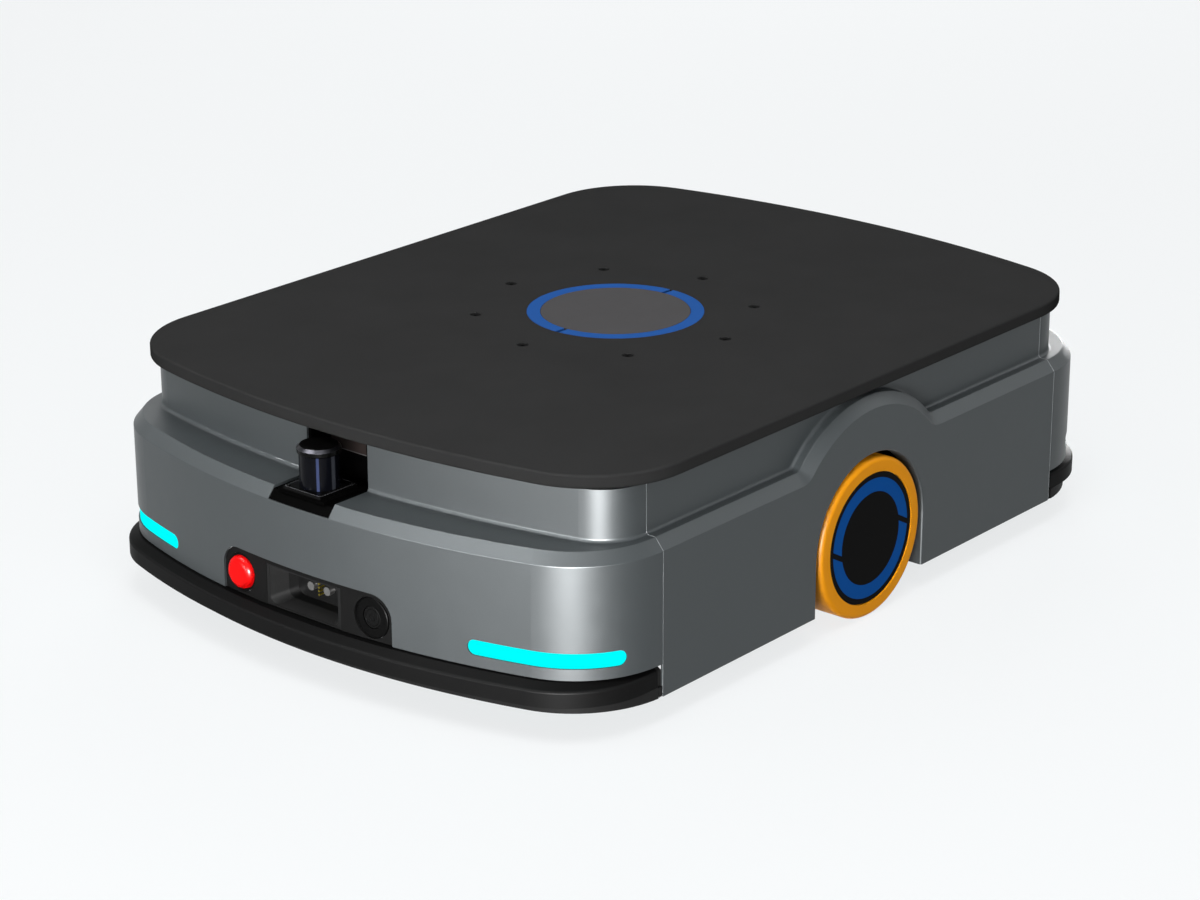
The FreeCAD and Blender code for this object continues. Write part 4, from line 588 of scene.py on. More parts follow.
@dataclass(frozen=True)
class BandedCap(Finish):
    """Black moulded hub cap with two printed blue arcs on its face, parted by two slanted breaks."""

    black: Colour = grey(14)
    blue: Colour = srgb(16, 82, 160)
    wheel_height: float = 0.085
    inner: float = 0.049
    outer: float = 0.0635
    break_slant: float = math.radians(29)
    break_offset: float = 0.0303
    break_reach: float = 0.014
    half_break: float = 0.0027
    face_from: float = 0.335
    edge: float = 0.00015

    def shader(self, graph: Graph, place: Signal) -> Signal:
        """Writes the cap.

        Args:
            graph: The material's graph.
            place: The place on the piece, in metres.

        Returns:
            The shader.
        """
        across, outward, height = graph.parts(place)
        above = height - self.wheel_height
        radius = (across * across + above * above).root()
        band = radius.rescaled(self.inner - self.edge, self.inner + self.edge, 0.0, 1.0)
        band = band * radius.rescaled(self.outer - self.edge, self.outer + self.edge, 1.0, 0.0)
        slanted = abs(above * math.cos(self.break_slant) - across * math.sin(self.break_slant))
        off_break = abs(slanted - self.break_offset)
        solid = off_break.rescaled(self.half_break - self.edge, self.half_break + self.edge, 0.0, 1.0)
        band = band * solid.larger_of(abs(above) > self.break_reach)
        band = band * (abs(outward) > self.face_from)
        fine = graph.noise(place, 1800, 2.0)
        cloud = graph.noise(place, 40, 3.0)
        dark = graph.blend(cloud * 0.3, self.black, grey(19))
        colour = graph.blend(band, dark, self.blue)
        rough = 0.5 - band * 0.12 + (cloud - 0.5) * 0.08
        return graph.skin(colour, rough, fine + band * 1.5, SKIN_DEPTH, 0.5, Specular_IOR_Level=0.01)


@dataclass(frozen=True)
class SocketPlastic(Finish):
    """Satin plastic of the charging funnel: near black on the contact block, dark on its front face."""

    colour: Colour = grey(31)
    block: Colour = grey(7)
    face: Colour = grey(19)
    block_face: float = 0.4508
    front_face: float = 0.4692
    roughness: float = 0.36

    def shader(self, graph: Graph, place: Signal) -> Signal:
        """Writes the plastic.

        Args:
            graph: The material's graph.
            place: The place on the piece, in metres.

        Returns:
            The shader.
        """
        ahead = graph.parts(place)[0]
        wear = graph.noise(place, 80, 4.0, 0.6)
        funnel = graph.blend(wear * 0.4, self.colour, grey(46))
        front = graph.blend(ahead > self.front_face, funnel, self.face)
        colour = graph.blend(ahead.above(self.block_face, 0.001), self.block, front)
        grain = graph.noise(place, FINE_GRAIN, 3.0, 0.6)
        return graph.skin(colour, self.roughness + (wear - 0.5) * 0.1, grain, HAIR_DEPTH, 0.5,
                          Specular_IOR_Level=0.1)


@dataclass(frozen=True)
class ContactMetal(Finish):
    """Nickel studs, with gilt signal contacts between them."""

    nickel: Colour = srgb(96, 95, 94)
    gilt: Colour = srgb(92, 82, 32)
    gilt_half: float = 0.004

    def shader(self, graph: Graph, place: Signal) -> Signal:
        """Writes the metal.

        Args:
            graph: The material's graph.
            place: The place on the piece, in metres.

        Returns:
            The shader.
        """
        outward = abs(graph.parts(place)[1])
        stain = graph.noise(place, 300, 3.0)
        nickel = graph.blend(stain * 0.4, self.nickel, grey(96))
        colour = graph.blend(outward < self.gilt_half, nickel, self.gilt)
        lines = graph.noise(graph.stretched(place, (1.0, 20.0, 20.0)), 200, 3.0)
        return graph.skin(colour, 0.34 + (stain - 0.5) * 0.12, lines, HAIR_DEPTH, 0.4, Metallic=1.0)


@dataclass(frozen=True)
class ScannerWindow(Finish):
    """Dark infrared window with a painted highlight, a narrow blue upright line, and beside it a paler upright
    band of painted reflection, on the half turned towards azimuth 40 degrees.
    """

    colour: Colour = srgb(6, 7, 12)
    guide: Colour = srgb(58, 68, 104)
    rib: Colour = srgb(46, 48, 54)
    axis_x: float = 0.442
    guide_turn: float = math.radians(40)
    guide_half: float = 0.0017
    rib_from: float = 0.0125
    rib_to: float = 0.0165

    def shader(self, graph: Graph, place: Signal) -> Signal:
        """Writes the window.

        Args:
            graph: The material's graph.
            place: The place on the piece, in metres.

        Returns:
            The shader.
        """
        forward, across, _ = graph.parts(place)
        ahead = forward - self.axis_x
        sideways = across * math.cos(self.guide_turn) - ahead * math.sin(self.guide_turn)
        facing = (ahead * math.cos(self.guide_turn) + across * math.sin(self.guide_turn)) > 0.0
        # Painted highlight and painted reflection: a narrow blue line and a paler band beside it, only on the
        # half turned towards azimuth 40 degrees.
        guide = abs(sideways).rescaled(self.guide_half * 0.6, self.guide_half, 1.0, 0.0) * facing
        rib = sideways.above(self.rib_from, 0.001)
        rib = rib * sideways.rescaled(self.rib_to - 0.001, self.rib_to, 1.0, 0.0) * facing
        haze = graph.noise(place, 90, 3.0)
        glass = graph.blend(haze * 0.4, self.colour, srgb(10, 11, 18))
        colour = graph.blend(guide, graph.blend(rib, glass, self.rib), self.guide)
        return graph.skin(colour, 0.12 + haze * 0.05, haze, 0.000004, Specular_IOR_Level=0.06)


@dataclass(frozen=True)
class BracketSatin(Finish):
    """Black satin of the scanner's bracket, with a painted reflection high on its back wall: a warm grey field
    with a paler line along its lower edge.
    """

    colour: Colour = grey(4)
    field: Colour = srgb(52, 45, 43)
    rim: Colour = srgb(80, 78, 78)
    painted_reflection_from: float = 0.2105
    rim_height: float = 0.0012
    wall_front: float = 0.3952
    wall_right: float = -0.031

    def shader(self, graph: Graph, place: Signal) -> Signal:
        """Writes the satin.

        Args:
            graph: The material's graph.
            place: The place on the piece, in metres.

        Returns:
            The shader.
        """
        forward, across, height = graph.parts(place)
        wall = (forward < self.wall_front) * (across > self.wall_right)
        # Painted reflection: a warm grey field high on one half of the back wall, with a paler line along its
        # lower edge.
        painted_reflection_share = wall * (height > self.painted_reflection_from)
        reflection_rim_share = wall * (abs(height - self.painted_reflection_from) < self.rim_height / 2)
        cloud = graph.noise(place, 60, 3.0)
        dark = graph.blend(cloud * 0.3, self.colour, grey(8))
        colour = graph.blend(reflection_rim_share, graph.blend(painted_reflection_share, dark, self.field), self.rim)
        grain = graph.noise(place, FINE_GRAIN, 2.0)
        return graph.skin(colour, 0.32 + cloud * 0.06, grain, HAIR_DEPTH, 0.5, Specular_IOR_Level=0.004)


@dataclass(frozen=True)
class GlossPlastic(Finish):
    """Polished moulded plastic, as on a push button or a cover over optics."""

    colour: Colour = srgb(235, 10, 10)
    roughness: float = 0.2
    specular: float = 0.12
    coat: float = 0.15

    def shader(self, graph: Graph, place: Signal) -> Signal:
        """Writes the gloss.

        Args:
            graph: The material's graph.
            place: The place on the piece, in metres.

        Returns:
            The shader.
        """
        touch = graph.noise(place, 140, 4.0, 0.6)
        colour = graph.blend(touch * 0.5, self.colour, shaded(self.colour, 0.9))
        rough = self.roughness + touch.rescaled(0.5, 0.75, 0.0, 0.1)
        ripple = graph.noise(place, 260, 1.0)
        return graph.skin(colour, rough, ripple, 0.000006, Specular_IOR_Level=self.specular,
                          Coat_Weight=self.coat, Coat_Roughness=0.1)


@dataclass(frozen=True)
class LightDiffuser(Finish):
    """Milky diffuser lit evenly from behind."""

    colour: Colour = srgb(0, 255, 255)

    def shader(self, graph: Graph, place: Signal) -> Signal:
        """Writes the lit diffuser.

        Args:
            graph: The material's graph.
            place: The place on the piece, in metres.

        Returns:
            The shader.
        """
        lamp = graph.noise(place, 160, 1.0)
        glow = graph.blend(lamp * 0.6, self.colour, shaded(self.colour, 0.97))
        frost = graph.noise(place, 1400, 2.0)
        return graph.skin(srgb(0, 20, 20), 0.5, frost, HAIR_DEPTH, 0.4, Specular_IOR_Level=0.0,
                          Emission_Color=glow, Emission_Strength=1.0)


@dataclass(frozen=True)
class BrushedMetal(Finish):
    """Bare metal with the fine lines of turning or grinding along one direction."""

    colour: Colour = srgb(176, 178, 180)
    roughness: float = 0.3
    stretch: tuple[float, float, float] = (1.0, 1.0, 30.0)

    def shader(self, graph: Graph, place: Signal) -> Signal:
        """Writes the metal.

        Args:
            graph: The material's graph.
            place: The place on the piece, in metres.

        Returns:
            The shader.
        """
        lines = graph.noise(graph.stretched(place, self.stretch), 90, 4.0, 0.65)
        stain = graph.noise(place, 35, 3.0)
        colour = graph.blend(lines * 0.5 + stain * 0.25, self.colour, shaded(self.colour, 0.72))
        rough = self.roughness + (lines - 0.5) * 0.14 + (stain - 0.5) * 0.1
        return graph.skin(colour, rough, lines, HAIR_DEPTH, 0.4, Metallic=1.0)


@dataclass(frozen=True)
class CastMetal(Finish):
    """Die-cast housing, blasted and clear coated."""

    colour: Colour = srgb(120, 123, 126)

    def shader(self, graph: Graph, place: Signal) -> Signal:
        """Writes the casting.

        Args:
            graph: The material's graph.
            place: The place on the piece, in metres.

        Returns:
            The shader.
        """
        grain = graph.cells(place, 1100)
        cloud = graph.noise(place, 26, 4.0, 0.6)
        colour = graph.blend(cloud * 0.5 + grain * 0.2, self.colour, shaded(self.colour, 0.7))
        return graph.skin(colour, 0.5 + (cloud - 0.5) * 0.16, grain, 0.00004, 0.6, Metallic=0.7)


# ---- mesh building ----


def stood(at: Sequence[float], axis: Axis) -> Matrix:
    """The place of a piece that is drawn along its own Z.

    Args:
        at: Its own origin, in millimetres of the robot's frame.
        axis: Where its Z points.

    Returns:
        The matrix that puts it there, in millimetres.
    """
    turn = Vector(axis.value).to_track_quat("Z", "Y" if abs(axis.value[2]) else "X")
    return Matrix.Translation(Vector(at)) @ turn.to_matrix().to_4x4()


def circle(radius: float, height: float, count: int = 32) -> list[Vector]:
    """Points round the Z axis."""
    turns = [FULL_TURN * step / count for step in range(count)]
    return [Vector((radius * math.cos(turn), radius * math.sin(turn), height)) for turn in turns]


def hexagon(across_flats: float, height: float, count: int = 24) -> list[Vector]:
    """Points round a hexagon, as many as a circle that it is joined to.

    Args:
        across_flats: Its size across its flats.
        height: Its place along Z.
        count: Points round it.

    Returns:
        The points, counter-clockwise.
    """
    points = []
    for step in range(count):
        turn = FULL_TURN * step / count
        off_flat = (turn % (math.pi / 3)) - math.pi / 6
        reach = across_flats / 2 / math.cos(off_flat)
        points.append(Vector((reach * math.cos(turn), reach * math.sin(turn), height)))
    return points


def rounded_box(length: float, width: float, radius: float, height: float, steps: int = 6) -> list[Vector]:
    """Points round a rectangle with rounded corners, about the Z axis.

    Args:
        length: Its size along X.
        width: Its size along Y.
        radius: Radius of its corners.
        height: Its place along Z.
        steps: Points to each corner.

    Returns:
        The points, counter-clockwise.
    """
    points = []
    corners = ((1, 1), (-1, 1), (-1, -1), (1, -1))
    for quarter, (side_x, side_y) in enumerate(corners):
        middle = Vector((side_x * (length / 2 - radius), side_y * (width / 2 - radius), height))
        for step in range(steps):
            turn = (quarter + step / (steps - 1)) * math.pi / 2
            points.append(middle + Vector((radius * math.cos(turn), radius * math.sin(turn), 0)))
    return points


class Form:
    """A mesh being built, in millimetres of the robot's frame."""

    def __init__(self) -> None:
        """Starts with nothing."""
        self.mesh = bmesh.new()

    def loft(self, loops: Iterable[Sequence[Vector]], place: Matrix = Matrix.Identity(4),
             closed: bool = False) -> "Form":
        """Skins a row of loops that have the same number of points.

        Args:
            loops: The loops in order.
            place: Where they are put.
            closed: The last loop joins the first one, and no end is capped.

        Returns:
            This form.
        """
        rows = [[self.mesh.verts.new(place @ point) for point in loop] for loop in loops]
        pairs = list(zip(rows, rows[1:] + rows[:1])) if closed else list(zip(rows, rows[1:]))
        for low, high in pairs:
            for index in range(len(low)):
                after = (index + 1) % len(low)
                self.mesh.faces.new((low[index], low[after], high[after], high[index]))
        if not closed:
            self.mesh.faces.new(list(reversed(rows[0])))
            self.mesh.faces.new(rows[-1])
        return self

    def turned(self, profile: Sequence[tuple[float, float]], place: Matrix, count: int = 48) -> "Form":
        """A solid turned about its own Z, from radius and height at each step of its profile."""
        return self.loft([circle(radius, height, count) for radius, height in profile], place)

    def hoop(self, radius: float, wire: float, place: Matrix, count: int = 96, sides: int = 10) -> "Form":
        """A round wire bent to a ring.

        Args:
            radius: Ring's axis to the middle of its wire.
            wire: Radius of the wire.
            place: Where its middle is put.
            count: Steps round the ring.
            sides: Steps round the wire.

        Returns:
            This form.
        """
        loops = []
        for step in range(count):
            turn = Matrix.Rotation(FULL_TURN * step / count, 4, "Z")
            section = circle(wire, 0, sides)
            loops.append([turn @ Vector((radius + point.x, 0, point.y)) for point in section])
        return self.loft(loops, place, closed=True)

    def wire(self, path: Sequence[Vector], radius: float, sides: int = 10) -> "Form":
        """A round wire along a path.

        Args:
            path: Points in order, no two alike.
            radius: Radius of the wire.
            sides: Steps round it.

        Returns:
            This form.
        """
        loops = []
        lead = None
        for index, point in enumerate(path):
            before = path[max(index - 1, 0)]
            after = path[min(index + 1, len(path) - 1)]
            heading = (after - before).normalized()
            if lead is None:
                lead = heading.orthogonal().normalized()
            lead = (lead - heading * lead.dot(heading)).normalized()
            other = heading.cross(lead)
            loops.append([point + lead * dot.x + other * dot.y for dot in circle(radius, 0, sides)])
        return self.loft(loops)

    def socket_screw(self, radius: float, height: float, key: float, place: Matrix) -> "Form":
        """A cap screw's head with its hexagon socket.

        Args:
            radius: Radius of the head.
            height: Height of the head above its seat.
            key: Size of the key across its flats.
            place: Middle of its seat, with Z out of the screw.

        Returns:
            This form.
        """
        chamfer = radius * 0.16
        count = 24
        loops = [circle(radius, 0, count), circle(radius, height - chamfer, count),
                 circle(radius - chamfer, height, count), circle(key * 0.66, height, count),
                 hexagon(key, height - key * 0.08, count), hexagon(key, height * 0.4, count)]
        return self.loft(loops, place)

    def sunk_screw(self, radius: float, depth: float, key: float, place: Matrix) -> "Form":
        """A countersunk head with its hexagon socket.

        Args:
            radius: Radius of the head at its face.
            depth: Depth of its cone.
            key: Size of the key across its flats.
            place: Middle of its face, with Z out of the screw.

        Returns:
            This form.
        """
        count = 24
        loops = [circle(radius * 0.5, -depth, count), circle(radius * 0.5, -depth + radius * 0.05, count),
                 circle(radius, -radius * 0.08, count), circle(radius * 0.95, 0, count),
                 circle(key * 0.66, 0, count), hexagon(key, -key * 0.08, count),
                 hexagon(key, -depth * 0.7, count)]
        return self.loft(loops, place)

    def hex_head(self, across_flats: float, height: float, place: Matrix) -> "Form":
        """A hexagon head or nut with its chamfered top and washer face.

        Args:
            across_flats: Its size across its flats.
            height: Its height above its seat.
            place: Middle of its seat, with Z out of the head.

        Returns:
            This form.
        """
        count = 24
        loops = [circle(across_flats * 0.5, 0, count), circle(across_flats * 0.5, height * 0.1, count),
                 hexagon(across_flats, height * 0.12, count), hexagon(across_flats, height * 0.86, count),
                 circle(across_flats * 0.47, height, count)]
        return self.loft(loops, place)


@dataclass(frozen=True)
class Span:
    """The two bodies that a piece spans, and where it leaves one and meets the other, in millimetres."""

    bodies: tuple[str, str]
    start: Vector
    end: Vector


@dataclass
class Bench:
    """Turns forms into pieces of the robot and dresses its CAD nodes."""

    made: list[str] = field(default_factory=list)

    def piece(self, name: str, form: Form, finish: Finish, held: str | Span,
              stands_for: Sequence[str] = ()) -> None:
        """Makes a piece from a form.

        Args:
            name: The piece's name.
            form: Its mesh, in millimetres.
            finish: Its finish.
            held: The body that it moves with, or the two that it joins.
            stands_for: CAD nodes that it is shown for.
        """
        bmesh.ops.scale(form.mesh, vec=(MM, MM, MM), verts=form.mesh.verts)
        bmesh.ops.recalc_face_normals(form.mesh, faces=form.mesh.faces)
        mesh = bpy.data.meshes.new(name)
        form.mesh.to_mesh(mesh)
        form.mesh.free()
        mesh.shade_smooth()
        mesh.set_sharp_from_angle(angle=SMOOTH_ANGLE)
        mesh.materials.append(finish.material())
        made = bpy.data.objects.new(name, mesh)
        bpy.context.scene.collection.objects.link(made)
        if isinstance(held, Span):
            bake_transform(made)
        else:
            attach(made, held)
        if stands_for:
            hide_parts(*stands_for)
        self.made.append(name)
        log.info("piece %s on %s", name, " and ".join(held.bodies) if isinstance(held, Span) else held)

    def dress(self, finish: Finish, slot: Slot, *nodes: str) -> None:
        """Gives CAD nodes their finish.

        Args:
            finish: The finish.
            slot: The record's slot that the finish belongs to. Not used.
            *nodes: The nodes' names.
        """
        for node in nodes:
            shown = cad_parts[node]
            for index in range(len(shown.material_slots)):
                shown.material_slots[index].link = "DATA"
                shown.data.materials[index] = finish.material()
            self.made.append(node)
            log.info("node %s in %s", node, finish.name)


PAINT = SatinPaint("satin_shell_paint")
# A pale bead in each seam between the covers: a painted highlight for the light on their rounded edges.
SEAM_HIGHLIGHT_BEAD = SatinPaint("painted_seam_highlight", colour=srgb(140, 144, 146), flake=srgb(150, 153, 155), metal=0.0,
                  specular=0.0)
PLATFORM_COAT = PowderCoat("platform_powder_coat")
FRAME_COAT = PowderCoat("frame_powder_coat", colour=grey(38), roughness=0.55, specular=0.08)
CAP_PLASTIC = MouldedPlastic("centre_cap_plastic", colour=srgb(80, 79, 80), roughness=0.6, specular=0.0)
RING_PLASTIC = MouldedPlastic("blue_ring_plastic", colour=srgb(42, 86, 154), roughness=0.5, specular=0.0)
PANEL_PLASTIC = MouldedPlastic("panel_plastic", colour=grey(22), roughness=0.48, specular=0.02)
COLLAR_PLASTIC = MouldedPlastic("collar_plastic", colour=grey(9), roughness=0.4, specular=0.02)
BUTTON_PLASTIC = MouldedPlastic("power_button_plastic", colour=grey(16), roughness=0.4, specular=0.03)
MARK_PLASTIC = MouldedPlastic("power_mark_plastic", colour=grey(17), roughness=0.4, specular=0.01)
SOCKET_PLASTIC = SocketPlastic("charging_funnel_plastic")
BUMPER = BumperRubber("bumper_rubber")
BELLOWS = MouldedPlastic("bellows_rubber", colour=grey(14), roughness=0.6, specular=0.02)
TYRE = Polyurethane("orange_polyurethane")
HUB_CAP = BandedCap("banded_hub_cap")
STOP_RED = GlossPlastic("stop_button_red", colour=srgb(252, 10, 12), roughness=0.28, specular=0.05, coat=0.03)
SCANNER_GLOSS = GlossPlastic("scanner_gloss", colour=grey(6), roughness=0.16, specular=0.06, coat=0.0)
WINDOW_GLOSS = ScannerWindow("scanner_window_gloss")
SCANNER_SATIN = MouldedPlastic("scanner_rotor_satin", colour=grey(6), roughness=0.3, specular=0.02)
BRACKET_SATIN = BracketSatin("scanner_bracket_satin")
CAP_EDGE = BrushedMetal("scanner_cap_edge", colour=srgb(36, 36, 39), roughness=0.3)
LIGHT = LightDiffuser("cyan_diffuser")
GROUND_STEEL = BrushedMetal("ground_steel")
TURNED_STEEL = BrushedMetal("turned_steel", roughness=0.24, stretch=(1.0, 1.0, 40.0))
CONTACTS = ContactMetal("charging_contacts")
SILVER_EDGE = BrushedMetal("bright_edge", colour=srgb(190, 190, 194), roughness=0.26)
BLACK_STEEL = PowderCoat("black_oxide_screw", colour=grey(30), grain=2600, depth=0.00001, roughness=0.5)
CAST_GREY = CastMetal("cast_motor_grey")
CASTER_TREAD = Polyurethane("caster_polyurethane", colour=srgb(70, 72, 76), worn=srgb(52, 53, 56),
                            wheel_height=0.0375, tread_from=0.2)
BATTERY_PLASTIC = MouldedPlastic("battery_case_plastic", colour=srgb(38, 46, 60), roughness=0.5)
CASE_ALLOY = CastMetal("anodised_case", colour=srgb(70, 74, 80))


# ---- the robot's sub-assemblies ----


@dataclass
class Covers:
    """The four painted covers, the pale beads in their seams that stand in as painted highlights for the
    covers' rounded edges, and the top cover under the platform.
    """

    seam_x: float = 331.5
    side_y: float = 337.0
    bead_bottom: float = 28.0
    shoulder: float = 175.0
    bevel_rise: float = 11.8
    bevel_run: float = 9.8
    cover_wall: float = 3.0
    foot: float = 3.5
    wall_top: float = 238.6
    bead_radius: float = 0.5
    bead_sink: float = 0.25

    def bead_path(self, side: Side, end: End) -> list[Vector]:
        """The line of one seam from the side cover's lower edge up to the top of the wall.

        Args:
            side: The robot's left or right.
            end: The robot's front or rear.

        Returns:
            The points of the line.
        """
        low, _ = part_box("left_cover")
        wall_y = low.y / MM + self.cover_wall
        ledge = self.shoulder + self.bevel_rise
        corners = [(self.side_y, self.bead_bottom), (self.side_y, self.shoulder - 1),
                   (self.side_y - 0.6, self.shoulder + 0.7),
                   (self.side_y - self.bevel_run + 0.6, ledge - 0.7),
                   (self.side_y - self.bevel_run - 1, ledge), (wall_y + self.foot, ledge),
                   (wall_y + 1, ledge + 1), (wall_y, ledge + self.foot), (wall_y, self.wall_top)]
        sunk = [(across - self.bead_sink, up - self.bead_sink * (across < self.side_y - 1))
                for across, up in corners]
        return [Vector((end.value * self.seam_x, side.value * across, up)) for across, up in sunk]

    def build(self, bench: Bench) -> None:
        """Dresses the covers and lays a pale bead in each seam, a painted highlight for the covers' rounded
        edges.

        Args:
            bench: The bench that keeps the pieces.
        """
        bench.dress(PAINT, Slot.SHELL, "front_cover", "rear_cover", "left_cover", "right_cover")
        bench.dress(FRAME_COAT, Slot.FRAME, "top_cover")
        bench.dress(BLACK_STEEL, Slot.SCREW, "top_cover_screws")
        for end in End:
            for side in Side:
                form = Form().wire(self.bead_path(side, end), self.bead_radius)
                bench.piece(f"{end.label}_{side.label}_seam_seal", form, SEAM_HIGHLIGHT_BEAD, "chassis")


@dataclass
class Platform:
    """The lifting and turning plate with its cap, ring and screws."""

    screw_circle: float = 147.5
    screw_count: int = 8
    screw_radius: float = 6.0
    screw_face: float = 256.4
    screw_depth: float = 5.0
    key: float = 4.0
    shank: float = 3.0
    shank_bottom: float = 238.0

    def build(self, bench: Bench) -> None:
        """Dresses the plate and puts in its countersunk screws.

        Args:
            bench: The bench that keeps the pieces.
        """
        bench.dress(PLATFORM_COAT, Slot.PLATFORM, "platform_plate")
        bench.dress(CAP_PLASTIC, Slot.CAP, "centre_disc")
        bench.dress(RING_PLASTIC, Slot.RING, "centre_ring")
        form = Form()
        for index in range(self.screw_count):
            turn = FULL_TURN * index / self.screw_count + self.first_turn()
            spot = (self.screw_circle * math.cos(turn), self.screw_circle * math.sin(turn), self.screw_face)
            place = stood(spot, Axis.UP)
            form.sunk_screw(self.screw_radius, self.screw_depth, self.key, place)
            low = self.shank_bottom - self.screw_face
            form.turned([(self.shank * 0.8, low), (self.shank, low + 0.5), (self.shank, -self.screw_depth)],
                        place, 20)
        bench.piece("platform_countersunk_screws", form, BLACK_STEEL, "turntable",
                    ["platform_screws"])

    def first_turn(self) -> float:
        """The angle of the first screw, read from the screws' own reach.

        Returns:
            The angle, in radians.
        """
        _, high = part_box("platform_screws")
        reach = (high.x / MM) - self.screw_radius
        return math.acos(min(1.0, reach / self.screw_circle))


@dataclass
class DriveWheels:
    """Both driven wheels with their swing arms, motors and springs."""

    axle_height: float = 85.0
    motor_end: float = 172.0
    screw_circle: float = 31.0
    screw_count: int = 6
    screw_radius: float = 3.2
    screw_height: float = 2.6
    key: float = 2.8
    spring_at: float = 98.0
    spring_across: float = 279.0
    spring_seat: float = 91.5
    spring_top: float = 154.0
    coil_radius: float = 12.0
    spring_wire: float = 1.95
    spring_gap: float = 0.1
    coil_turns: int = 6
    turn_steps: int = 16

    def build(self, bench: Bench) -> None:
        """Dresses both sides."""
        for side in Side:
            self.dress_side(bench, side)

    def build_spring(self, bench: Bench, side: Side) -> None:
        """Makes a coiled suspension spring between its arm and the chassis, in place of the rigid one.

        Args:
            bench: The bench that keeps the pieces.
            side: The robot's left or right.
        """
        steps = self.coil_turns * self.turn_steps
        margin = self.spring_wire + self.spring_gap
        low = self.spring_seat + margin
        rise = self.spring_top - margin - low
        across = side.value * self.spring_across
        path = []
        for step in range(steps + 1):
            turn = FULL_TURN * step / self.turn_steps
            path.append(Vector((self.spring_at + self.coil_radius * math.cos(turn),
                                across + self.coil_radius * math.sin(turn), low + rise * step / steps)))
        held = Span((f"{side.label}_arm", "chassis"), Vector((self.spring_at, across, self.spring_seat)),
                    Vector((self.spring_at, across, self.spring_top)))
        bench.piece(f"{side.label}_coil_spring", Form().wire(path, self.spring_wire), GROUND_STEEL,
                    held, [f"{side.label}_spring"])

    def dress_side(self, bench: Bench, side: Side) -> None:
        """Dresses one wheel and adds its small hardware.

        Args:
            bench: The bench that keeps the pieces.
            side: The robot's left or right.
        """
        label = side.label
        bench.dress(TYRE, Slot.TYRE, f"{label}_tyre")
        bench.dress(HUB_CAP, Slot.HUB_CAP, f"{label}_hub_cap")
        bench.dress(CAST_GREY, Slot.MOTOR, f"{label}_wheel_hub")
        bench.dress(FRAME_COAT, Slot.FRAME, f"{label}_drive_arm")
        bench.dress(CAST_GREY, Slot.MOTOR, f"{label}_drive_motor")
        self.build_spring(bench, side)
        form = Form()
        inward = Axis.RIGHT if side is Side.LEFT else Axis.LEFT
        for index in range(self.screw_count):
            turn = FULL_TURN * (index + 0.5) / self.screw_count
            spot = (self.screw_circle * math.cos(turn), side.value * self.motor_end,
                    self.axle_height + self.screw_circle * math.sin(turn))
            form.socket_screw(self.screw_radius, self.screw_height, self.key, stood(spot, inward))
        bench.piece(f"{label}_motor_screws", form, BLACK_STEEL, f"{label}_arm")


@dataclass
class Bumpers:
    """The two sprung rubber bumpers and the bellows that seal their ends."""

    cover_end: float = 331.3
    bumper_end: float = 337.8
    folds: int = 3
    fold_depth: float = 0.9
    inner_y: float = 314.0
    lip_y: float = 336.6
    face_y: float = 334.2
    slope_y: float = 322.5
    bottom: float = 27.2
    lip_top: float = 37.6
    lip_rise: float = 0.6
    brow: float = 54.2
    top: float = 60.7

    def build(self, bench: Bench) -> None:
        """Dresses both bumpers and closes the gap at each end.

        Args:
            bench: The bench that keeps the pieces.
        """
        for end in End:
            bench.dress(BUMPER, Slot.BUMPER, f"{end.label}_bumper")
            for side in Side:
                self.build_seal(bench, end, side)

    def section(self, end: End, side: Side, along: float, inset: float) -> list[Vector]:
        """One outline of a bellows across the robot.

        Args:
            end: The bumper.
            side: Its left or right end.
            along: Distance from the robot's middle.
            inset: How far the outline lies inside the bumper's own.

        Returns:
            The outline's points.
        """
        outline = ((self.inner_y + inset, self.bottom + inset), (self.lip_y - inset, self.bottom + inset),
                   (self.lip_y - inset, self.lip_top),
                   (self.face_y - inset, self.lip_top + self.lip_rise),
                   (self.face_y - inset, self.brow - inset), (self.slope_y - inset, self.top - inset),
                   (self.inner_y + inset, self.top - inset))
        return [Vector((end.value * along, side.value * across, up)) for across, up in outline]

    def build_seal(self, bench: Bench, end: End, side: Side) -> None:
        """Makes the folded bellows between a bumper's end and the side cover.

        Args:
            bench: The bench that keeps the pieces.
            end: The robot's front or rear.
            side: The robot's left or right.
        """
        steps = 2 * self.folds
        length = self.bumper_end - self.cover_end
        loops = [self.section(end, side, self.cover_end + length * step / steps, self.fold_depth * (step % 2))
                 for step in range(steps + 1)]
        points = (Vector((end.value * along, side.value * self.face_y, self.lip_top))
                  for along in (self.cover_end, self.bumper_end))
        bench.piece(f"{end.label}_{side.label}_bumper_bellows", Form().loft(loops), BELLOWS,
                    Span(("chassis", f"{end.label}_bumper_body"), *points))


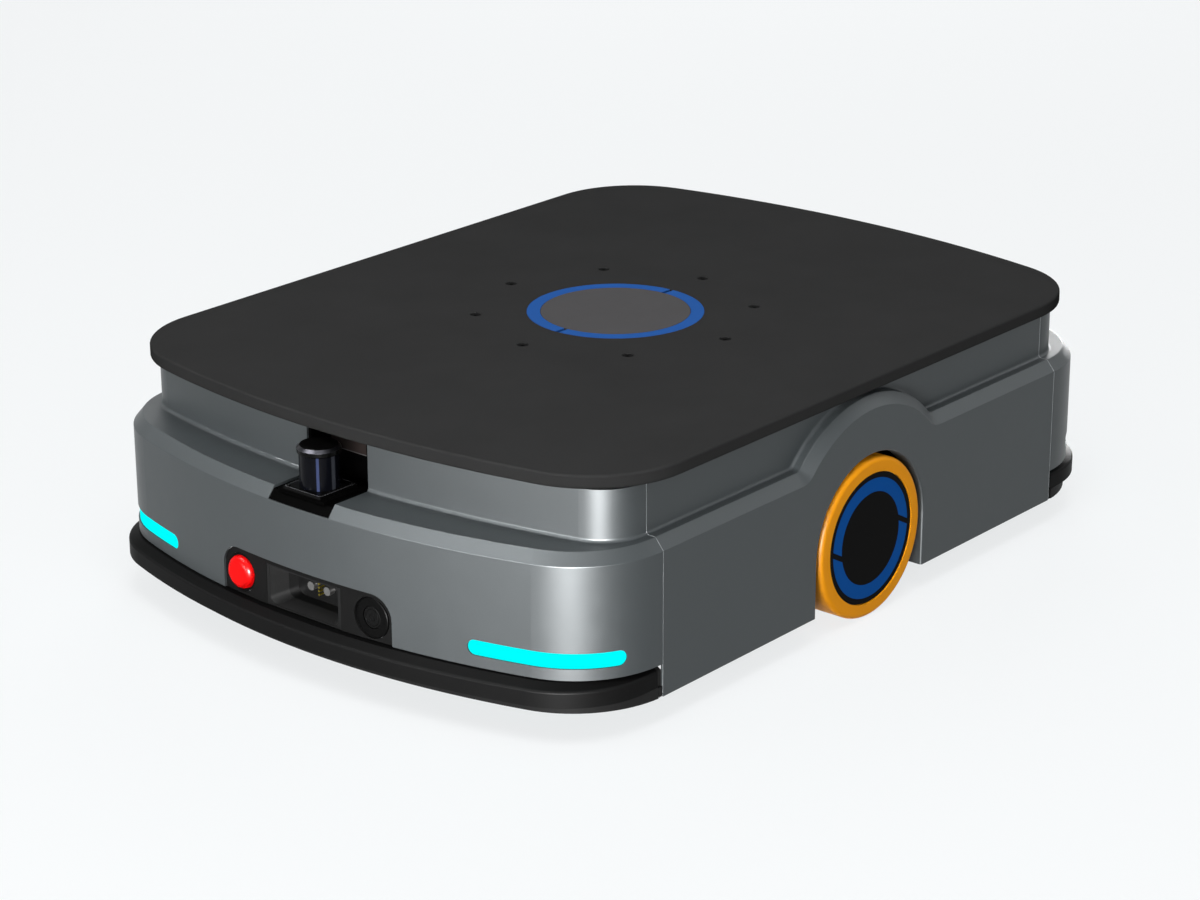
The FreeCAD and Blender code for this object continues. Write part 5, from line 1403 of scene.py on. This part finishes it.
@dataclass
class ControlPanel:
    """The dark front panel with its charging socket, stop button and power switch."""

    control_height: float = 84.0
    control_y: float = 89.0
    power_face: float = 466.3
    power_ring: float = 8.4
    ring_wire: float = 0.45
    power_mark: float = 3.4
    mark_wire: float = 0.35
    stroke_from: float = 0.6
    stroke_over: float = 1.2

    def build(self, bench: Bench) -> None:
        """Dresses the panel and adds the switch's rings.

        Args:
            bench: The bench that keeps the pieces.
        """
        bench.dress(PANEL_PLASTIC, Slot.PANEL, "front_panel")
        bench.dress(SOCKET_PLASTIC, Slot.PANEL, "charge_socket")
        bench.dress(COLLAR_PLASTIC, Slot.PANEL, "estop_body", "power_switch_body")
        bench.dress(BUTTON_PLASTIC, Slot.PANEL, "power_button")
        bench.dress(STOP_RED, Slot.STOP, "estop_button")
        bench.dress(CONTACTS, Slot.CONTACT, "charge_contacts")
        form = Form()
        face = stood((self.power_face, self.control_y, self.control_height), Axis.FORWARD)
        form.hoop(self.power_ring, self.ring_wire, face)
        form.hoop(self.power_mark, self.mark_wire, face, 48, 8)
        form.wire([Vector((self.power_face, self.control_y, self.control_height + rise))
                   for rise in (self.stroke_from, self.power_mark + self.stroke_over)], self.mark_wire)
        bench.piece("power_button_rings", form, MARK_PLASTIC, "power_key")


@dataclass
class Scanner:
    """The laser scanner on its tray in the notch of the front cover."""

    axis_x: float = 442.0
    base_top: float = 191.0
    base_side: float = 50.0
    cap_radius: float = 21.6
    cap_inner: float = 18.6
    cap_side_top: float = 230.0
    cap_top: float = 233.0
    proud: float = 0.12
    base_loops: tuple[tuple[float, float, float], ...] = (
        (0.2, 3, -0.5), (0.2, 3, -0.1), (1.6, 2.4, 0.12), (2.4, 2.2, 0.12), (2.4, 2.2, -0.5))

    def build(self, bench: Bench) -> None:
        """Dresses the scanner and adds its bright edges.

        Args:
            bench: The bench that keeps the pieces.
        """
        bench.dress(BRACKET_SATIN, Slot.SCANNER, "lidar_bracket")
        bench.dress(SCANNER_GLOSS, Slot.SCANNER, "lidar_housing")
        bench.dress(SCANNER_SATIN, Slot.SCANNER, "lidar_rotor")
        bench.dress(WINDOW_GLOSS, Slot.WINDOW, "lidar_window")
        place = stood((self.axis_x, 0, 0), Axis.UP)
        for name, loops, finish in (("scanner_base_edge", self.base_edge(), SILVER_EDGE),
                                    ("scanner_cap_edge", self.cap_edge(), CAP_EDGE)):
            bench.piece(name, Form().loft(loops, place, closed=True), finish, "chassis")

    def base_edge(self) -> list[list[Vector]]:
        """The loops of the base plate's edge: how far each lies inside it, its corners and its rise."""
        return [rounded_box(self.base_side - less, self.base_side - less, corner, self.base_top + rise)
                for less, corner, rise in self.base_loops]

    def cap_edge(self) -> list[list[Vector]]:
        """The loops of the cap's bevelled edge.

        Returns:
            The loops in order.
        """
        outer = self.cap_radius + self.proud
        profile = ((self.cap_radius - 1, self.cap_side_top - 0.4), (outer, self.cap_side_top - 0.2),
                   (outer, self.cap_side_top + 0.1), (self.cap_inner + 0.4, self.cap_top - 0.2),
                   (self.cap_inner - 0.6, self.cap_top - 0.8))
        return [circle(radius, height, 64) for radius, height in profile]


@dataclass
class LightStrips:
    """The four lit strips in the corners of the covers."""

    def build(self, bench: Bench) -> None:
        """Dresses the strips."""
        bench.dress(LIGHT, Slot.LIGHT, "light_strips")


@dataclass
class Casters:
    """The four swivelling casters."""

    caster_x: float = 300.0
    trail: float = 28.0
    axle_height: float = 37.5
    nut: float = 13.0
    nut_height: float = 4.0

    def build(self, bench: Bench) -> None:
        """Dresses the casters and adds their axle nuts.

        Args:
            bench: The bench that keeps the pieces.
        """
        bench.dress(GROUND_STEEL, Slot.FRAME, "caster_plates")
        for end in End:
            for side in Side:
                label = f"{end.label}_{side.label}"
                bench.dress(GROUND_STEEL, Slot.FRAME, f"{label}_caster_fork")
                bench.dress(CASTER_TREAD, Slot.TREAD, f"{label}_caster_wheel")
                bench.piece(f"{label}_caster_axle_nuts", self.axle_nuts(label, end, side), TURNED_STEEL,
                            f"{label}_caster_swivel")

    def axle_nuts(self, label: str, end: End, side: Side) -> Form:
        """The nut and the bolt's head outside the two legs of a fork.

        Args:
            label: The caster's name as its nodes use it.
            end: The robot's front or rear.
            side: The robot's left or right.

        Returns:
            Their form.
        """
        low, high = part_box(f"{label}_caster_fork")
        along = end.value * self.caster_x - self.trail
        form = Form()
        for face, axis in ((low.y / MM, Axis.RIGHT), (high.y / MM, Axis.LEFT)):
            form.hex_head(self.nut, self.nut_height, stood((along, face, self.axle_height), axis))
        return form


@dataclass
class LiftAndTurn:
    """The lifting column with its gears, and the turning drive in its head."""

    def build(self, bench: Bench) -> None:
        """Dresses the lift and the turning drive.

        Args:
            bench: The bench that keeps the pieces.
        """
        bench.dress(GROUND_STEEL, Slot.BRIGHT, "lift_column")
        bench.dress(TURNED_STEEL, Slot.BRIGHT, "lift_guide_posts")
        bench.dress(FRAME_COAT, Slot.FRAME, "lift_housing")
        bench.dress(CAST_GREY, Slot.MOTOR, "lift_motor", "slew_motor")
        bench.dress(TURNED_STEEL, Slot.BRIGHT, "lift_nut_gear", "lift_pinion", "slew_ring", "slew_pinion")


@dataclass
class Chassis:
    """The welded frame, its battery tub and the boxes that it carries."""

    def build(self, bench: Bench) -> None:
        """Dresses the frame and its boxes.

        Args:
            bench: The bench that keeps the pieces.
        """
        bench.dress(FRAME_COAT, Slot.FRAME, "chassis_frame", "battery_tub")
        bench.dress(TURNED_STEEL, Slot.BRIGHT, "frame_pins")
        bench.dress(BATTERY_PLASTIC, Slot.BATTERY, "battery_pack")
        bench.dress(CASE_ALLOY, Slot.ELECTRONICS, "control_computer", "motor_driver")


# ---- studio ----


@dataclass
class Studio:
    """The plain pale studio: floor, soft lamps and camera."""

    backdrop: Colour = srgb(249, 251, 252)
    floor_cloth: Colour = grey(118)
    floor_seen: Colour = srgb(240, 242, 243)
    floor_glow: float = 0.8
    fill: float = 0.25
    floor_half: float = 14.0
    floor_drop: float = 0.0005
    aim_height: float = 0.12
    camera_at: tuple[float, float, float] = (2.4487, 2.0629, 1.2935)
    looks_at: tuple[float, float, float] = (0.0069, -0.0162, 0.0978)
    camera_roll: float = math.radians(-0.2)
    lens: float = 95.57
    sensor: float = 36.0
    far_clip: float = 60.0

    def build(self) -> None:
        """Sets up everything round the robot."""
        self.build_floor()
        self.build_world()
        self.softbox("key_softbox", azimuth=-36, elevation=46, distance=4.2, size=(2.2, 1.8), power=19)
        self.softbox("top_softbox", azimuth=40, elevation=68, distance=3.6, size=(1.8, 1.8), power=68)
        self.softbox("front_softbox", azimuth=24, elevation=7, distance=3.4, size=(1.5, 0.7), power=80)
        self.softbox("side_softbox", azimuth=72, elevation=38, distance=4.2, size=(1.8, 1.6), power=10)
        self.softbox("rear_softbox", azimuth=215, elevation=28, distance=4.6, size=(2.2, 1.8), power=50)
        self.sheen("corner_strip", azimuth=34, elevation=3, distance=3.0, size=(0.9, 0.5), power=1250)
        self.sheen("rear_corner_strip", azimuth=196, elevation=3, distance=3.0, size=(0.9, 0.5), power=60)
        self.sheen("front_panel_sheen", azimuth=-8, elevation=3, distance=3.2, size=(1.0, 0.5), power=170)
        self.sheen("bevel_panel", azimuth=-30, elevation=56, distance=3.6, size=(2.0, 1.2), power=260)
        self.sheen("side_panel", azimuth=150, elevation=32, distance=3.6, size=(2.0, 1.0), power=20)
        self.build_camera()
        bpy.context.scene.view_settings.view_transform = "Standard"

    def build_floor(self) -> None:
        """Lays a pale floor that keeps the robot's soft shadow."""
        mesh = bmesh.new()
        bmesh.ops.create_circle(mesh, cap_ends=True, segments=96, radius=self.floor_half)
        data = bpy.data.meshes.new("studio_floor")
        mesh.to_mesh(data)
        mesh.free()
        floor = bpy.data.objects.new("studio_floor", data)
        bpy.context.scene.collection.objects.link(floor)
        floor.location.z = -self.floor_drop
        graph = Graph.of_material("studio_floor")
        shows = graph.shows()
        cloth = graph.node("ShaderNodeBsdfDiffuse", inputs={
            "Color": graph.blend(shows, self.floor_cloth, self.floor_seen)})
        pale = graph.node("ShaderNodeEmission", inputs={"Color": self.backdrop})
        data.materials.append(graph.finish(graph.node(
            "ShaderNodeMixShader", inputs={0: shows * self.floor_glow, 1: cloth, 2: pale})))

    def build_world(self) -> None:
        """Gives even, soft light from all round and a pale backdrop."""
        world = bpy.data.worlds.new("studio_world")
        bpy.context.scene.world = world
        graph = Graph(world)
        strength = graph.shows().rescaled(0.0, 1.0, self.fill, 1.0)
        graph.finish(graph.node("ShaderNodeBackground",
                                inputs={"Color": self.backdrop, "Strength": strength}))

    def softbox(self, name: str, azimuth: float, elevation: float, distance: float,
                size: tuple[float, float], power: float) -> bpy.types.Object:
        """Hangs one soft lamp that points at the robot.

        Args:
            name: The lamp's name.
            azimuth: Where it hangs, in degrees from +X towards +Y.
            elevation: Its height above the horizon, in degrees.
            distance: Its distance from the robot, in metres.
            size: Its width and height, in metres.
            power: Its power, in watts.

        Returns:
            The lamp.
        """
        turn, rise = math.radians(azimuth), math.radians(elevation)
        way = Vector((math.cos(turn) * math.cos(rise), math.sin(turn) * math.cos(rise), math.sin(rise)))
        data = bpy.data.lights.new(name, "AREA")
        data.shape = "RECTANGLE"
        data.size, data.size_y = size
        data.energy = power
        lamp = bpy.data.objects.new(name, data)
        bpy.context.scene.collection.objects.link(lamp)
        lamp.location = way * distance + Vector((0, 0, self.aim_height))
        lamp.rotation_mode = "QUATERNION"
        lamp.rotation_quaternion = way.to_track_quat("Z", "Y")
        lamp.visible_camera = False
        return lamp

    def sheen(self, name: str, **hanging: Any) -> None:
        """Hangs a lamp that only shows as a sheen on satin and gloss; its arguments are a softbox's."""
        self.softbox(name, **hanging).visible_diffuse = False

    def build_camera(self) -> None:
        """Sets up the camera at a standing person's view of the robot's front left."""
        data = bpy.data.cameras.new("studio_camera")
        data.lens = self.lens
        data.sensor_width = self.sensor
        data.clip_end = self.far_clip
        camera = bpy.data.objects.new("studio_camera", data)
        bpy.context.scene.collection.objects.link(camera)
        back = (Vector(self.camera_at) - Vector(self.looks_at)).normalized()
        camera.location = self.camera_at
        camera.rotation_mode = "QUATERNION"
        roll = Quaternion((0, 0, 1), self.camera_roll)
        camera.rotation_quaternion = (-back).to_track_quat("-Z", "Y") @ roll
        bpy.context.scene.camera = camera


def main() -> None:
    """Builds the sub-assemblies in order."""
    logging.basicConfig(level=logging.INFO, format="%(name)s: %(message)s")
    bench = Bench()
    assemblies: tuple[Any, ...] = (Chassis(), LiftAndTurn(), Platform(), Covers(), Bumpers(), ControlPanel(),
                                   Scanner(), LightStrips(), DriveWheels(), Casters())
    for assembly in assemblies:
        log.info("building %s", type(assembly).__name__)
        assembly.build(bench)
    Studio().build()
    log.info("%d pieces and nodes dressed", len(bench.made))


if __name__ == "__main__":
    main()
